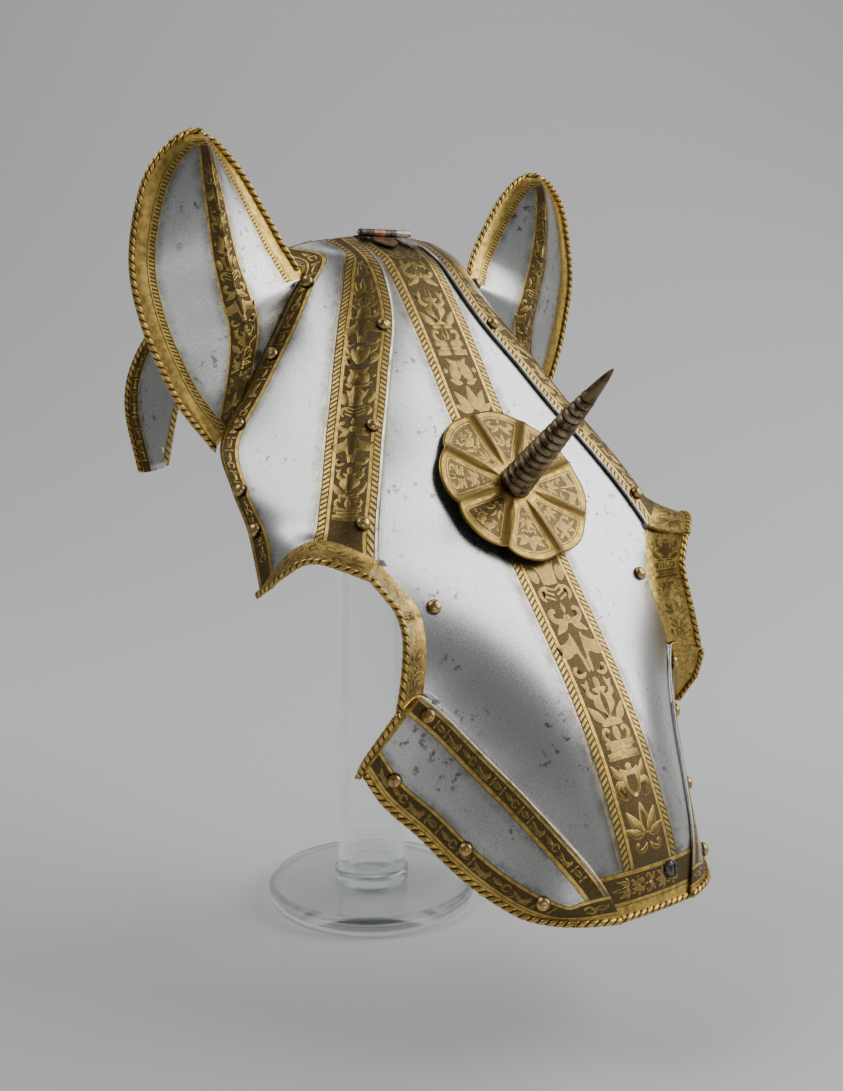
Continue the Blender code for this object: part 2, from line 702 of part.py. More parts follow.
def combine(thing, other, operation):
    """Cut or join one object with another and keep the result as the first one's own mesh."""
    step = thing.modifiers.new(operation.lower(), "BOOLEAN")
    step.operation = operation
    step.object = other
    step.solver = "EXACT"
    graph = bpy.context.evaluated_depsgraph_get()
    mesh = bpy.data.meshes.new_from_object(thing.evaluated_get(graph))
    thing.modifiers.clear()
    thing.data = mesh
    bpy.data.objects.remove(other, do_unlink=True)


def cut(thing, cutter):
    bpy.context.view_layer.update()
    combine(thing, cutter, "DIFFERENCE")


def leaf(name, half_width, centre, direction, slope):
    """Shield-shaped hinge leaf that lies on its plate, from the axis outward and down at `slope` degrees."""
    neck, tip = KNUCKLE_RADIUS + 0.5, LEAF_LENGTH
    outline = ((0, 0.45), (neck, 0.45), (neck + 0.1, 1), (0.62 * tip, 1), (0.85 * tip, 0.62), (tip, 0.08))
    points = [(centre + half_width * wide, direction * along) for along, wide in outline]
    points += [(centre - half_width * wide, direction * along) for along, wide in reversed(outline)]
    bm = bmesh.new()
    face_made = bm.faces.new([bm.verts.new((x * MM, y * MM, 0)) for x, y in points])
    made = bmesh.ops.extrude_face_region(bm, geom=[face_made])["geom"]
    top = [item for item in made if isinstance(item, bmesh.types.BMVert)]
    bmesh.ops.translate(bm, vec=(0, 0, LEAF_THICK * MM), verts=top)
    bmesh.ops.recalc_face_normals(bm, faces=bm.faces[:])
    bmesh.ops.translate(bm, vec=(0, 0, -KNUCKLE_RADIUS * MM), verts=bm.verts[:])
    bmesh.ops.rotate(bm, matrix=Matrix.Rotation(-direction * math.radians(slope), 3, "X"), verts=bm.verts[:])
    mesh = bpy.data.meshes.new(name)
    bm.to_mesh(mesh)
    bm.free()
    made = bpy.data.objects.new(name, mesh)
    collection.objects.link(made)
    mesh.materials.append(DARK_STEEL)
    return made


def hinge():
    axis = Matrix.Translation(Vector((0, HINGE_Y, HINGE_Z)) * MM)
    for name, start, end, half_width, direction, slope in KNUCKLES:
        piece = leaf(name, half_width, (start + end) / 2, direction, slope)
        combine(piece, cylinder("knuckle", KNUCKLE_RADIUS, start, end, None), "UNION")
        combine(piece, cylinder("bore", PIN_RADIUS + GAP, start - 1, end + 1, None), "DIFFERENCE")
        piece.matrix_world = axis
    pin = cylinder("hinge_pin", PIN_RADIUS, KNUCKLES[0][1] - 1.5, KNUCKLES[-1][2] + 1.5, DARK_STEEL)
    combine(pin, cylinder("head", KNUCKLE_RADIUS - 0.4, KNUCKLES[-1][2] + GAP, KNUCKLES[-1][2] + 2.4, None),
            "UNION")
    pin.matrix_world = axis


# ---------------------------------------------------------------- stand

def stand():
    rim = [(DISC_RADIUS - DISC_ROUND * (1 - math.sin(angle)), DISC_THICK / 2 + (DISC_THICK / 2) * math.cos(angle))
           for angle in np.linspace(0, math.pi, 7)]
    turned("stand_base", [(0, DISC_THICK)] + rim + [(0, 0)], CLEAR, 40)
    foot = DISC_THICK + GAP
    turned("stand_rod", [(0, ROD_TOP), (ROD_RADIUS, ROD_TOP), (ROD_RADIUS, foot), (0, foot)], CLEAR, 32)
    low, high = foot, foot + RING_HEIGHT
    inner = ROD_RADIUS + GAP
    turned("stand_ring", [(inner, high), (RING_RADIUS, high), (RING_RADIUS, low), (inner, low), (inner, high)],
           CLEAR, 32)


def stand_rest():
    """Plain saddle on the rod, whose top follows the inside of the main plate along its midline."""
    under = PLATE + GAP + 1.2
    top = []
    for row in np.linspace(0.3, 3.2, 8):
        out = outward(face, row, 0, 1)
        point = face(row, 0) - out * under
        top.append((point[1], point[2]))
    base = ROD_TOP + GAP
    back_z = top[0][1] - 6
    outline = [(REST_BACK_Y, base), (REST_BACK_Y, back_z), (-8, back_z)] + top
    outline += [(top[-1][0] + 8, top[-1][1] - REST_DEPTH * 0.5), (-ROD_RADIUS, base)]
    bm = bmesh.new()
    side = bm.faces.new([bm.verts.new((-REST_HALF * MM, y * MM, z * MM)) for y, z in outline])
    made = bmesh.ops.extrude_face_region(bm, geom=[side])["geom"]
    far = [item for item in made if isinstance(item, bmesh.types.BMVert)]
    bmesh.ops.translate(bm, vec=(2 * REST_HALF * MM, 0, 0), verts=far)
    bmesh.ops.recalc_face_normals(bm, faces=bm.faces[:])
    mesh = bpy.data.meshes.new("stand_rest")
    bm.to_mesh(mesh)
    bm.free()
    made = bpy.data.objects.new("stand_rest", mesh)
    collection.objects.link(made)
    mesh.materials.append(PLAIN)


main_plate()
for hand, side in SIDES.items():
    temple_plate(f"side_plate_{hand}", side)
    cheek_plate(f"cheek_plate_{hand}", side)
    ear_guard(f"ear_{hand}", side)
poll_plate()
rosette()
spike()
rivets()
nose_screw()
hinge()
stand()
stand_rest()
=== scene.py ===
"""Looks of a horse's head armour on a clear display stand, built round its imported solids.

Tables of sections are in millimetres, from the poll down to the nose, for the horse's left half; the
right half mirrors it. The horse faces -Y, its left side is +X, and Z is up.
"""
import json
import math
from collections import namedtuple

import bmesh
import bpy
import numpy as np
from mathutils import Matrix, Vector

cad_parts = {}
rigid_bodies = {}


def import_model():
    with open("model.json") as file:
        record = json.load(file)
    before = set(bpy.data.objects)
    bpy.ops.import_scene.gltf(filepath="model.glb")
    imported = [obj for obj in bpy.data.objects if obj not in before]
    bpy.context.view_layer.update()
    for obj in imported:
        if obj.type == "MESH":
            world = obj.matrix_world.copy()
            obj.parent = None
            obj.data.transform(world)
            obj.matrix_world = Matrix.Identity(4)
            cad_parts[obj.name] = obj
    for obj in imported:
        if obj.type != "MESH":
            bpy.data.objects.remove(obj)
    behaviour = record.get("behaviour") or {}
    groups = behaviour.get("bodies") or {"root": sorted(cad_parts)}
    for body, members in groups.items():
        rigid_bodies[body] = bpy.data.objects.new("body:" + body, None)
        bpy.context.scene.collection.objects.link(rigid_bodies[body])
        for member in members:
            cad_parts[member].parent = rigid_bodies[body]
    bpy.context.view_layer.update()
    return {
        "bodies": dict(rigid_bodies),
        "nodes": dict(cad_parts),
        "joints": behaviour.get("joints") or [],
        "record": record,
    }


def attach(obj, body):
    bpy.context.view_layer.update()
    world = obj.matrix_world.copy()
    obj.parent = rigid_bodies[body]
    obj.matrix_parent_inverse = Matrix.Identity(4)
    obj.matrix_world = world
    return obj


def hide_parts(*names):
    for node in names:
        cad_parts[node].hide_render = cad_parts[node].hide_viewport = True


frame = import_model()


# ---------------------------------------------------------------- camera
# A normal lens at the height of the ears, in front of the horse's right cheek.

CAMERA_TURN = (79.9934, -0.3562, -37.6797)
lens = bpy.data.cameras.new("camera")
lens.lens = 46.57
lens.clip_start = 0.02
camera = bpy.data.objects.new("camera", lens)
camera.location = (-0.6075, -0.8458, 0.4595)
camera.rotation_euler = [math.radians(turn) for turn in CAMERA_TURN]
bpy.context.scene.collection.objects.link(camera)
bpy.context.scene.camera = camera


# ---------------------------------------------------------------- main plate
# One long plate of bright steel from the poll to the nose. It is hammered from sheet, its eye edges
# are turned out as guards and roped, and a band etched and gilt with trophies of arms runs down it.

MM = 0.001
PLATE = 1.2                # thickness of the sheet
LAP, LAP_SINK = 12.0, 0.8  # how far it runs under its neighbours, and how deep
LIFT = 2.0                 # height of a covering plate's face over this one's
CENTRE_BAND = 26.0         # half width of the etched band
BAND_INSET = 0.985         # share of that half width where the sheet's cells begin to widen
CREASE = math.radians(30)  # a sheet bent more sharply than this shows a crease
FAR = 50.0                 # map value for places away from any etched border
SIDES = {"left": 1, "right": -1}


def columns(names, rows):
    """A table of rows, handed back as named columns."""
    return namedtuple("columns", names)(*np.array(rows, float).T)


FALL_AT = 100.0            # distance from the midline at which a section's fall is measured
FACE = columns("y z fall", (
    (-12, 500.5, 22), (-35, 491, 28), (-50.5, 480.5, 30), (-73, 452.5, 20), (-95.5, 420.5, 12),
    (-119.5, 384.5, 8), (-141.5, 354, 6), (-162, 325, 6), (-183, 296, 8), (-204.5, 269, 15),
    (-226.5, 241.5, 27), (-246.5, 214, 38), (-264, 186.5, 47), (-279.5, 155.5, 48), (-291.5, 124.5, 38),
    (-297, 93, 18)))
TEMPLE_EDGE = columns("face_row half_width", (
    (0, 25), (1, 25.5), (2, 26.5), (3, 33.5), (4, 51), (5, 72.5), (6, 91), (7, 107), (7.62, 116)))
EYE_EDGE = columns("face_row half_width", (
    (7.65, 115.5), (8.15, 106), (8.55, 99.5), (9, 99), (9.5, 102.5), (9.95, 107)))
CHEEK_EDGE = columns("face_row half_width", (
    (10.1, 102.5), (11, 86.5), (12, 71.5), (13, 56.5), (14, 41.5), (15, 29.5)))
MAIN_FLANGE = columns("place x y z", (
    (7.65, 21, -21, -4), (8.55, 25, -12, 3), (9, 24, -11, 3), (9.95, 25, -8, -5)))
RIDGE = 0.34               # share of the side plate's width that lies in front of its ridge
TEMPLE_SWELL = (0.91, -0.41)
TEMPLE = columns("face_row seam_x ridge_row ridge_x rear_x rear_y rear_z out up", (
    (0, 25, 0, 41, 82, 6, 486, 0, 2), (1.2, 25.5, 1.2, 40, 69, -19, 479, 0, 3),
    (2.3, 27.5, 2.3, 45, 85, -24, 455, 2, 1), (3.3, 37, 3.3, 62, 102, -28, 429, 3, 0),
    (4.3, 57, 4.3, 81, 123, -32, 398, 3, 0), (5.4, 80, 5.4, 103.5, 147, -37, 363, 3, 0),
    (6.6, 101, 6.6, 123.5, 155, -64, 337, 3, 0), (7.25, 111, 7.05, 130, 158, -89, 313, 3, 3),
    (7.62, 116, 7.25, 133.5, 165.5, -115.5, 281, 2, 14)))
CHEEK_CROWN, CHEEK_SWELL = 2.0, (0.62, -0.73, 0.27)
CHEEK = columns("face_row seam_x edge_x edge_y edge_z", (
    (9.95, 107, 136, -180.5, 175), (10.5, 95, 126, -188.5, 156), (11.3, 82, 113, -206.5, 139),
    (12.1, 70, 103, -222.5, 123), (12.9, 58, 92, -238.5, 109), (13.7, 46, 79.5, -258.5, 98),
    (14.4, 36, 68.5, -272.5, 95), (15, 29.5, 57.5, -286, 94.5)))


def through(column, at):
    """Smooth curve through a column of a table; `at` holds row numbers and may hold fractions."""
    at = np.asarray(at, float)
    knots = np.concatenate(([2 * column[0] - column[1]], column, [2 * column[-1] - column[-2]]))
    first = np.clip(np.floor(at).astype(int), 0, len(column) - 2)
    t = at - first
    before, start, end, after = (knots[first + step] for step in range(4))
    return 0.5 * (2 * start + (end - before) * t + (2 * before - 5 * start + 4 * end - after) * t ** 2
                  + (3 * start - before - 3 * end + after) * t ** 3)


def at_row(table, row):
    """A table's smooth curves read at rows."""
    return type(table)(*[through(column, row) for column in table])


def grids(*values):
    return np.broadcast_arrays(*[np.asarray(value, float) for value in values])


def point(*parts):
    return np.stack(np.broadcast_arrays(*parts), axis=-1)


def length(arrows):
    return np.linalg.norm(arrows, axis=-1, keepdims=True)


def unit(arrows):
    return arrows / length(arrows)


def bulge(share):
    """Arch that is 0 at both ends of a share and 1 in its middle."""
    return 4 * share * (1 - share)


def face(row, x):
    """Point of the front face, x mm out from the midline."""
    row, x = grids(row, x)
    after, before = at_row(FACE, row + 0.01), at_row(FACE, row - 0.01)
    step = unit(point(after.y - before.y, after.z - before.z))
    here = at_row(FACE, row)
    sink = here.fall * (x / FALL_AT) ** 2
    return point(x, here.y - step[..., 1] * sink, here.z + step[..., 0] * sink)


def temple(row, across):
    """Point of the side plate; across runs from its front edge (0) over its ridge to its rear edge (1)."""
    row, across = grids(row, across)
    at = at_row(TEMPLE, row)
    share = np.minimum(across / RIDGE, 1)
    front = face(at.face_row + (at.ridge_row - at.face_row) * share,
                 at.seam_x + (at.ridge_x - at.seam_x) * share)
    rear = point(at.rear_x, at.rear_y, at.rear_z)
    share = np.maximum((across - RIDGE) / (1 - RIDGE), 0)
    crown = bulge(share)
    swell = point(*[part * crown * at.out for part in TEMPLE_SWELL], crown * at.up)
    return front + (rear - front) * share[..., None] + swell


def cheek(row, across):
    """Point of the cheek plate; across runs from its upper edge (0) to its lower edge (1)."""
    row, across = grids(row, across)
    at = at_row(CHEEK, row)
    seam, edge = face(at.face_row, at.seam_x), point(at.edge_x, at.edge_y, at.edge_z)
    crown = CHEEK_CROWN * bulge(across)
    return seam + (edge - seam) * across[..., None] + crown[..., None] * np.array(CHEEK_SWELL)


def mirrored(points, side):
    return points * np.array([side, 1, 1])


def outward(surface, row, across):
    """Unit normals of a surface of the left half, pointing away from the horse."""
    step = 0.02
    wide = step * (FALL_AT if surface is face else 1)
    normal = unit(np.cross(surface(row + step, across) - surface(row - step, across),
                           surface(row, across + wide) - surface(row, across - wide)))
    inward = (normal[..., 1] > 0) | ((abs(normal[..., 1]) < 0.3) & (normal[..., 2] < 0))
    return np.where(inward[..., None], -normal, normal)


def travel(points, axis=0):
    """Distance walked along rows of points."""
    steps = np.linalg.norm(np.diff(points, axis=axis), axis=-1)
    start = np.zeros_like(np.take(steps, [0], axis=axis))
    return np.concatenate((start, np.cumsum(steps, axis=axis)), axis=axis)


def onward(start, end, cells):
    """Even steps from one value of each row to another, without the first."""
    return start[:, None] + (end - start)[:, None] * np.linspace(0, 1, cells + 1)[1:]


def ruled(start, end, lines):
    """Sheet of straight lines from one row of points to another."""
    return start[:, None] + (end - start)[:, None] * np.linspace(0, 1, lines)[:, None]


def patch(bm, points, zone=0, **maps):
    """Add one grid of cells to a sheet: points in mm, and named (across, along) maps in mm."""
    rows, wide = points.shape[0] - 1, points.shape[1] - 1
    made = bmesh.ops.create_grid(bm, x_segments=wide, y_segments=rows, size=1)["verts"]
    place = {}
    for vert in made:
        place[vert] = round((vert.co.y + 1) / 2 * rows), round((vert.co.x + 1) / 2 * wide)
        vert.co = Vector(points[place[vert]]) * MM
    layers = {name: bm.loops.layers.uv[name] for name in maps}
    for cell in {cell for vert in made for cell in vert.link_faces}:
        cell.material_index = zone
        for loop in cell.loops:
            for name, (across, along) in maps.items():
                loop[layers[name]].uv = across[place[loop.vert]], along[place[loop.vert]]


def new_sheet():
    bm = bmesh.new()
    for name in ("band", "edge"):
        bm.loops.layers.uv.new(name)
    return bm


FLARE_CELLS, FLARE_BEND = 9, 0.6


def turned_out(bm, edge, beside, flange, at, side):
    """Turn an edge out as a gilt guard that leaves the plate smoothly and reaches as `flange` says."""
    share = np.linspace(0, 1, FLARE_CELLS + 1)[:, None]
    reach = mirrored(point(*[np.interp(at, flange.place, column) for column in flange[1:]]), side)[:, None]
    tangent = unit((edge - beside)[:, None]) * length(reach)
    guard = edge[:, None] + reach * share + (tangent - reach) * share * (1 - share) ** 2 * FLARE_BEND
    patch(bm, guard, 1, band=(travel(guard, 1), travel(guard)))
    return guard


def show(name, bm, looks, body="armour", stands_for=None):
    """Make the finished mesh a piece of the scene that rides on a body and may stand for a node."""
    mesh = bpy.data.meshes.new(name)
    bm.to_mesh(mesh)
    bm.free()
    mesh.shade_smooth()
    for look in looks:
        mesh.materials.append(look)
    piece = bpy.data.objects.new(name, mesh)
    bpy.context.scene.collection.objects.link(piece)
    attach(piece, body)
    if stands_for:
        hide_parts(*stands_for)
    return piece


def sheet_metal(name, bm, looks, outside, body="armour", thickness=PLATE):
    """Weld a sheet's patches, face it outwards and give it the thickness of its metal."""
    bmesh.ops.remove_doubles(bm, verts=bm.verts[:], dist=0.00002)
    bmesh.ops.recalc_face_normals(bm, faces=bm.faces[:])
    if sum(cell.normal.dot(Vector(outside)) * cell.calc_area() for cell in bm.faces) < 0:
        bmesh.ops.reverse_faces(bm, faces=bm.faces[:])
    for line in bm.edges:
        zones = {cell.material_index for cell in line.link_faces}
        line.smooth = len(zones) < 2 and line.calc_face_angle(0) < CREASE
    piece = show(name + "_dressed", bm, looks + [STEEL_INSIDE], body, [name])
    wall = piece.modifiers.new("thickness", "SOLIDIFY")
    wall.thickness = thickness * MM
    wall.offset = -1
    wall.material_offset = len(looks)


STEEL_PALE, STEEL_DULL, STEEL_STAIN = (0.66, 0.67, 0.66, 1), (0.46, 0.46, 0.45, 1), (0.10, 0.088, 0.075, 1)
INSIDE_DARK, INSIDE_PALE = (0.16, 0.15, 0.14, 1), (0.34, 0.33, 0.31, 1)
GOLD_PALE, GOLD_DEEP, GOLD_WORN = (0.68, 0.465, 0.125, 1), (0.37, 0.245, 0.065, 1), (0.12, 0.082, 0.035, 1)
GROUND = (0.105, 0.073, 0.034, 1)
ROPE_PITCH, ROPE_SLANT = 3.8, 0.75
DIRT_REACH, DIRT_CLEAR = 7.0, 0.2      # where dirt lies beside an etched border


class Finish:
    """A material as it is mixed: each step adds a node and hands back its value for the next."""

    def __init__(self, name, metallic=1.0):
        self.look = bpy.data.materials.new(name)
        self.look.use_nodes = True
        self.tree = self.look.node_tree
        self.shader = self.tree.nodes["Principled BSDF"]
        self.feed(self.shader, {"Metallic": metallic})

    def feed(self, node, inputs):
        """Fill a node's inputs with numbers, colours or other nodes' values."""
        for name, value in inputs.items():
            if isinstance(value, bpy.types.NodeSocket):
                self.tree.links.new(value, node.inputs[name])
            else:
                node.inputs[name].default_value = value

    def add(self, kind, inputs, **settings):
        made = self.tree.nodes.new(kind)
        for name, value in settings.items():
            setattr(made, name, value)
        self.feed(made, inputs)
        return made.outputs

    def calc(self, operation, *values):
        return self.add("ShaderNodeMath", dict(enumerate(values)), operation=operation)[0]

    def times(self, first, second):
        return self.calc("MULTIPLY", first, second)

    def step(self, value, low, high, at_low=0.0, at_high=1.0):
        """Soft step of a value from one level to another."""
        inputs = dict(enumerate((value, low, high, at_low, at_high)))
        return self.add("ShaderNodeMapRange", inputs, interpolation_type="SMOOTHSTEP")[0]

    def blend(self, share, first, second):
        return self.add("ShaderNodeMix", {0: share, 2: first, 3: second}, data_type="FLOAT")[0]

    def mix(self, share, first, second):
        """Mix of two colours."""
        return self.add("ShaderNodeMix", {0: share, 6: first, 7: second}, data_type="RGBA")[2]

    def grain(self, scale, detail, rough, stretch=None):
        """Noise on the piece's own coordinates, in cells per metre."""
        source = self.add("ShaderNodeTexCoord", {})["Object"]
        if stretch:
            source = self.add("ShaderNodeMapping", {"Vector": source, "Scale": stretch})[0]
        return self.add("ShaderNodeTexNoise", {"Vector": source, "Scale": scale, "Detail": detail,
                                               "Roughness": rough})[0]

    def cells(self, flow, scale, loose=1.0, feature="F1"):
        return self.add("ShaderNodeTexVoronoi", {"Vector": flow, "Scale": scale, "Randomness": loose},
                        feature=feature)[0]

    def read_map(self, name="band"):
        """The two values of a map: mm across, and mm along."""
        return self.add("ShaderNodeSeparateXYZ", {0: self.add("ShaderNodeUVMap", {}, uv_map=name)[0]})[:2]

    def gilding(self, tone, wear, levels, rub, colours=(GOLD_PALE, GOLD_DEEP, GOLD_WORN)):
        """Fire gilding from two grains: the levels of its deeper tone, and those of its worn places
        and how worn they are. Returns its colour and the two grains."""
        tone, wear = self.grain(*tone), self.grain(*wear)
        gold = self.mix(self.step(tone, *levels), *colours[:2])
        return self.mix(self.step(wear, rub[0], rub[1], 0, rub[2]), gold, colours[2]), tone, wear

    def done(self, colour, rough, *bumps):
        """Set the colour and roughness and stack bumps of (height, distance in metres, strength)."""
        normal = {}
        for bump in bumps:
            inputs = dict(zip(("Height", "Distance", "Strength"), bump))
            normal = {"Normal": self.add("ShaderNodeBump", {**inputs, **normal})[0]}
        self.feed(self.shader, {"Base Color": colour, "Roughness": rough, **normal})
        return self.look


def steel_layers(made):
    """Polished and worn steel: its colour, roughness, polishing strokes and fine height."""
    clouds = made.grain(11, 2, 0.5)
    mottle = made.grain(1400, 3, 0.6)
    pits = made.times(made.step(made.grain(650, 2, 0.6), 0.60, 0.70),
                      made.step(made.grain(20, 4, 0.7), 0.54, 0.70, 0.2, 1.0))
    scars = made.times(made.step(made.grain(170, 4, 0.65), 0.57, 0.66),
                       made.step(made.grain(26, 2, 0.5), 0.48, 0.60, 0.05, 0.9))
    spots = made.calc("MAXIMUM", pits, scars)
    colour = made.mix(made.step(mottle, 0.40, 0.62, 0, 0.8), STEEL_PALE, STEEL_DULL)
    colour = made.mix(made.step(clouds, 0.45, 0.75, 0, 0.3), colour, STEEL_DULL)
    colour = made.mix(made.times(spots, 0.85), colour, STEEL_STAIN)
    rough = made.calc("ADD", made.step(clouds, 0.3, 0.7, 0.22, 0.27), made.times(mottle, 0.08))
    return colour, rough, made.grain(90, 3, 0.6, (9, 9, 1)), made.calc("SUBTRACT", mottle, spots)


ETCHED = {"steel": (0, 0, 0, 0), "dark": (0, 0, 0, 1), "gilt": (1, 0, 0, 1), "rope": (0, 1, 0, 1),
          "ground": (0, 0, 1, 1)}


def etched(made, map_name, profile, pitch=ROPE_PITCH, slant=ROPE_SLANT):
    """Read an etched border: profile rows are (mm from its edge, kind) and the last row ends it.

    Returns how far the border covers a place, how much of it is gilt, and the mm from its edge."""
    across, along = made.read_map(map_name)
    span = profile[-1][0] + 2
    outputs = made.add("ShaderNodeValToRGB", {0: made.calc("DIVIDE", made.calc("ADD", across, 1), span)})
    ramp = outputs[0].node.color_ramp
    ramp.interpolation = "CONSTANT"
    ramp.elements.remove(ramp.elements[1])
    ramp.elements[0].color = ETCHED["steel"]
    for start, kind in profile:
        ramp.elements.new((start + 1) / span).color = ETCHED[kind]
    gilt, rope, ground = made.add("ShaderNodeSeparateColor", {0: outputs[0]})
    twist = made.calc("DIVIDE", made.calc("MULTIPLY_ADD", across, slant, along), pitch)
    strands = made.step(made.calc("PINGPONG", twist, 0.5), 0.15, 0.27)
    flow = made.add("ShaderNodeCombineXYZ", {0: across, 1: along})[0]
    stipple = made.step(made.cells(flow, 1.4), 0.30, 0.16, 0, 0.5)
    gilt = made.calc("MULTIPLY_ADD", rope, strands, gilt)
    return outputs[1], made.calc("MULTIPLY_ADD", ground, stipple, gilt), across


def armour_steel(name, pitch=ROPE_PITCH, slant=ROPE_SLANT, **profiles):
    """Steel plate with an etched border on each named map."""
    made = Finish(name)
    colour, rough, strokes, height = steel_layers(made)
    gold, _, wear = made.gilding((260, 3, 0.6), (70, 6, 0.7), (0.35, 0.7), (0.56, 0.74, 0.75))
    for map_name, profile in profiles.items():
        cover, gilt, across = etched(made, map_name, profile, pitch, slant)
        end = profile[-1][0]
        beside = made.times(made.step(across, -DIRT_REACH, -DIRT_CLEAR),
                            made.step(across, end + DIRT_REACH, end + DIRT_CLEAR))
        darkening = made.times(beside, made.step(wear, 0.35, 0.65, 0.1, 0.65))
        colour = made.mix(darkening, colour, STEEL_STAIN)
        colour = made.mix(cover, colour, made.mix(gilt, GROUND, gold))
        rough = made.blend(cover, rough, made.step(gilt, 0, 1, 0.55, 0.36))
        height = made.blend(cover, height, made.calc("ADD", gilt, 0.2))
    return made.done(colour, rough, (made.grain(9, 1, 0.5), 0.0012, 0.15), (strokes, 0.0001, 0.15),
                     (height, 0.00003, 0.5))


def gilt_guard():
    """Gilt steel etched all over with small leafy scrolls, worn brown in places."""
    made = Finish("gilt_eye_guard")
    flow = made.add("ShaderNodeUVMap", {}, uv_map="band")[0]
    petals = made.cells(flow, 0.19, 0.9, "DISTANCE_TO_EDGE")
    veins = made.cells(flow, 0.494, 1.0, "DISTANCE_TO_EDGE")
    lines = made.times(made.step(petals, 0.03, 0.09), made.step(veins, 0.01, 0.05))
    gold, tone, _ = made.gilding((240, 4, 0.65), (60, 6, 0.7), (0.35, 0.7), (0.50, 0.72, 0.8))
    colour = made.mix(made.calc("MULTIPLY_ADD", lines, 0.35, 0.65), GROUND, gold)
    return made.done(colour, made.step(tone, 0.3, 0.7, 0.30, 0.46), (lines, 0.0001, 0.5), (tone, 0.0001, 0.4))


def inside_steel():
    made = Finish("steel_inside")
    return made.done(made.mix(made.grain(60, 6, 0.7), INSIDE_DARK, INSIDE_PALE), 0.55)


STEEL_INSIDE, GILT_GUARD = inside_steel(), gilt_guard()
BAND_PROFILE = ((0, "gilt"), (0.8, "steel"), (2.6, "dark"), (3.2, "rope"), (7.6, "dark"), (8.4, "gilt"),
                (10.4, "ground"), (60, "steel"))
BORDER_PROFILE = ((0, "gilt"), (2.6, "dark"), (3.1, "ground"), (12.2, "dark"), (12.6, "gilt"), (15, "dark"),
                  (15.5, "steel"))
FOOT_PROFILE = ((0, "gilt"), (9, "dark"), (9.5, "gilt"), (11.5, "dark"), (12, "ground"), (26, "dark"),
                (26.5, "gilt"), (29, "dark"), (29.5, "steel"))
MAIN_STEEL = armour_steel("main_plate_steel", band=BAND_PROFILE, edge=FOOT_PROFILE)

stretches = {"temple": (TEMPLE_EDGE, 79), "eye": (EYE_EDGE, 31), "cheek": (CHEEK_EDGE, 51)}
main_rows, main_half = np.concatenate([at_row(edge, np.linspace(0, len(edge.face_row) - 1, count))
                                       for edge, count in stretches.values()], axis=1)
main_kind = np.repeat(list(stretches), [count for _, count in stretches.values()])
inner = np.linspace(0, 1, 9) * BAND_INSET * np.minimum(CENTRE_BAND, main_half[:, None] - 0.5)
main_x = np.concatenate((inner, onward(inner[:, -1], main_half, 18)), axis=1)
main_x = np.concatenate((-main_x[:, :0:-1], main_x), axis=1)
main_points = face(main_rows[:, None], main_x)
midline = travel(face(main_rows, 0))
main_along = np.broadcast_to(midline[:, None], main_x.shape)
main_foot = midline[-1] - main_along
bm = new_sheet()
patch(bm, main_points, band=(CENTRE_BAND - abs(main_x), main_along), edge=(main_foot, main_x))
main_guards = {}
for hand, side in SIDES.items():
    last = 0 if side < 0 else -1
    for kind, surface, sections in (("temple", temple, TEMPLE), ("cheek", cheek, CHEEK)):
        wanted = main_kind == kind
        plate_row = np.interp(main_rows[wanted], sections.face_row, np.arange(len(sections.face_row)))
        wide = length(surface(plate_row, RIDGE) - surface(plate_row, 0))[:, 0]
        under = RIDGE * LAP / wide
        lapped = mirrored(surface(plate_row, under) - outward(surface, plate_row, under) * LAP_SINK, side)
        strip = ruled(main_points[wanted, last], lapped, 4)
        along, foot = grids(main_along[wanted, :1], strip[..., 0])[0], main_foot[wanted, :1]
        patch(bm, strip, band=(along * 0 - FAR, along), edge=(along * 0 + foot, along))
    wanted = main_kind == "eye"
    main_guards[hand] = turned_out(bm, main_points[wanted, last], main_points[wanted, last - side],
                                   MAIN_FLANGE, main_rows[wanted], side)
sheet_metal("main_plate", bm, [MAIN_STEEL, GILT_GUARD], (0, -1, 0.5))


# ---------------------------------------------------------------- side plates
# One steel plate over each temple, with a low ridge from the poll to the eye. It laps over the main
# plate, is riveted to it along an etched and gilt band, and is turned out over the eye.

BAND_BEHIND = columns("row width", (
    (0, 8.5), (1, 9), (2, 16.5), (2.5, 18.2), (4, 19.7), (5, 20), (6, 21.2), (8, 22)))
BORDER = 15.5              # width of the etched border along the free edges
TEMPLE_FLANGE = columns("place x y z", (
    (0, 21, -21, -6), (0.34, 22, -16, -7), (0.7, 14, -13, -12), (0.85, 10, -8, -11), (1, 4, -2, -4)))
SIDE_STEEL = armour_steel("side_plate_steel", band=BAND_PROFILE, edge=BORDER_PROFILE)


def raised(surface, row, across, side):
    """Points of a covering plate, on the left (1) or the right (-1) half."""
    return mirrored(surface(row, across) + outward(surface, row, across) * LIFT, side)


def softened(points, passes):
    """Even out the corners of a line of points."""
    for _ in range(passes):
        points = np.concatenate((points[:1], (points[:-2] + 2 * points[1:-1] + points[2:]) / 4, points[-1:]))
    return points


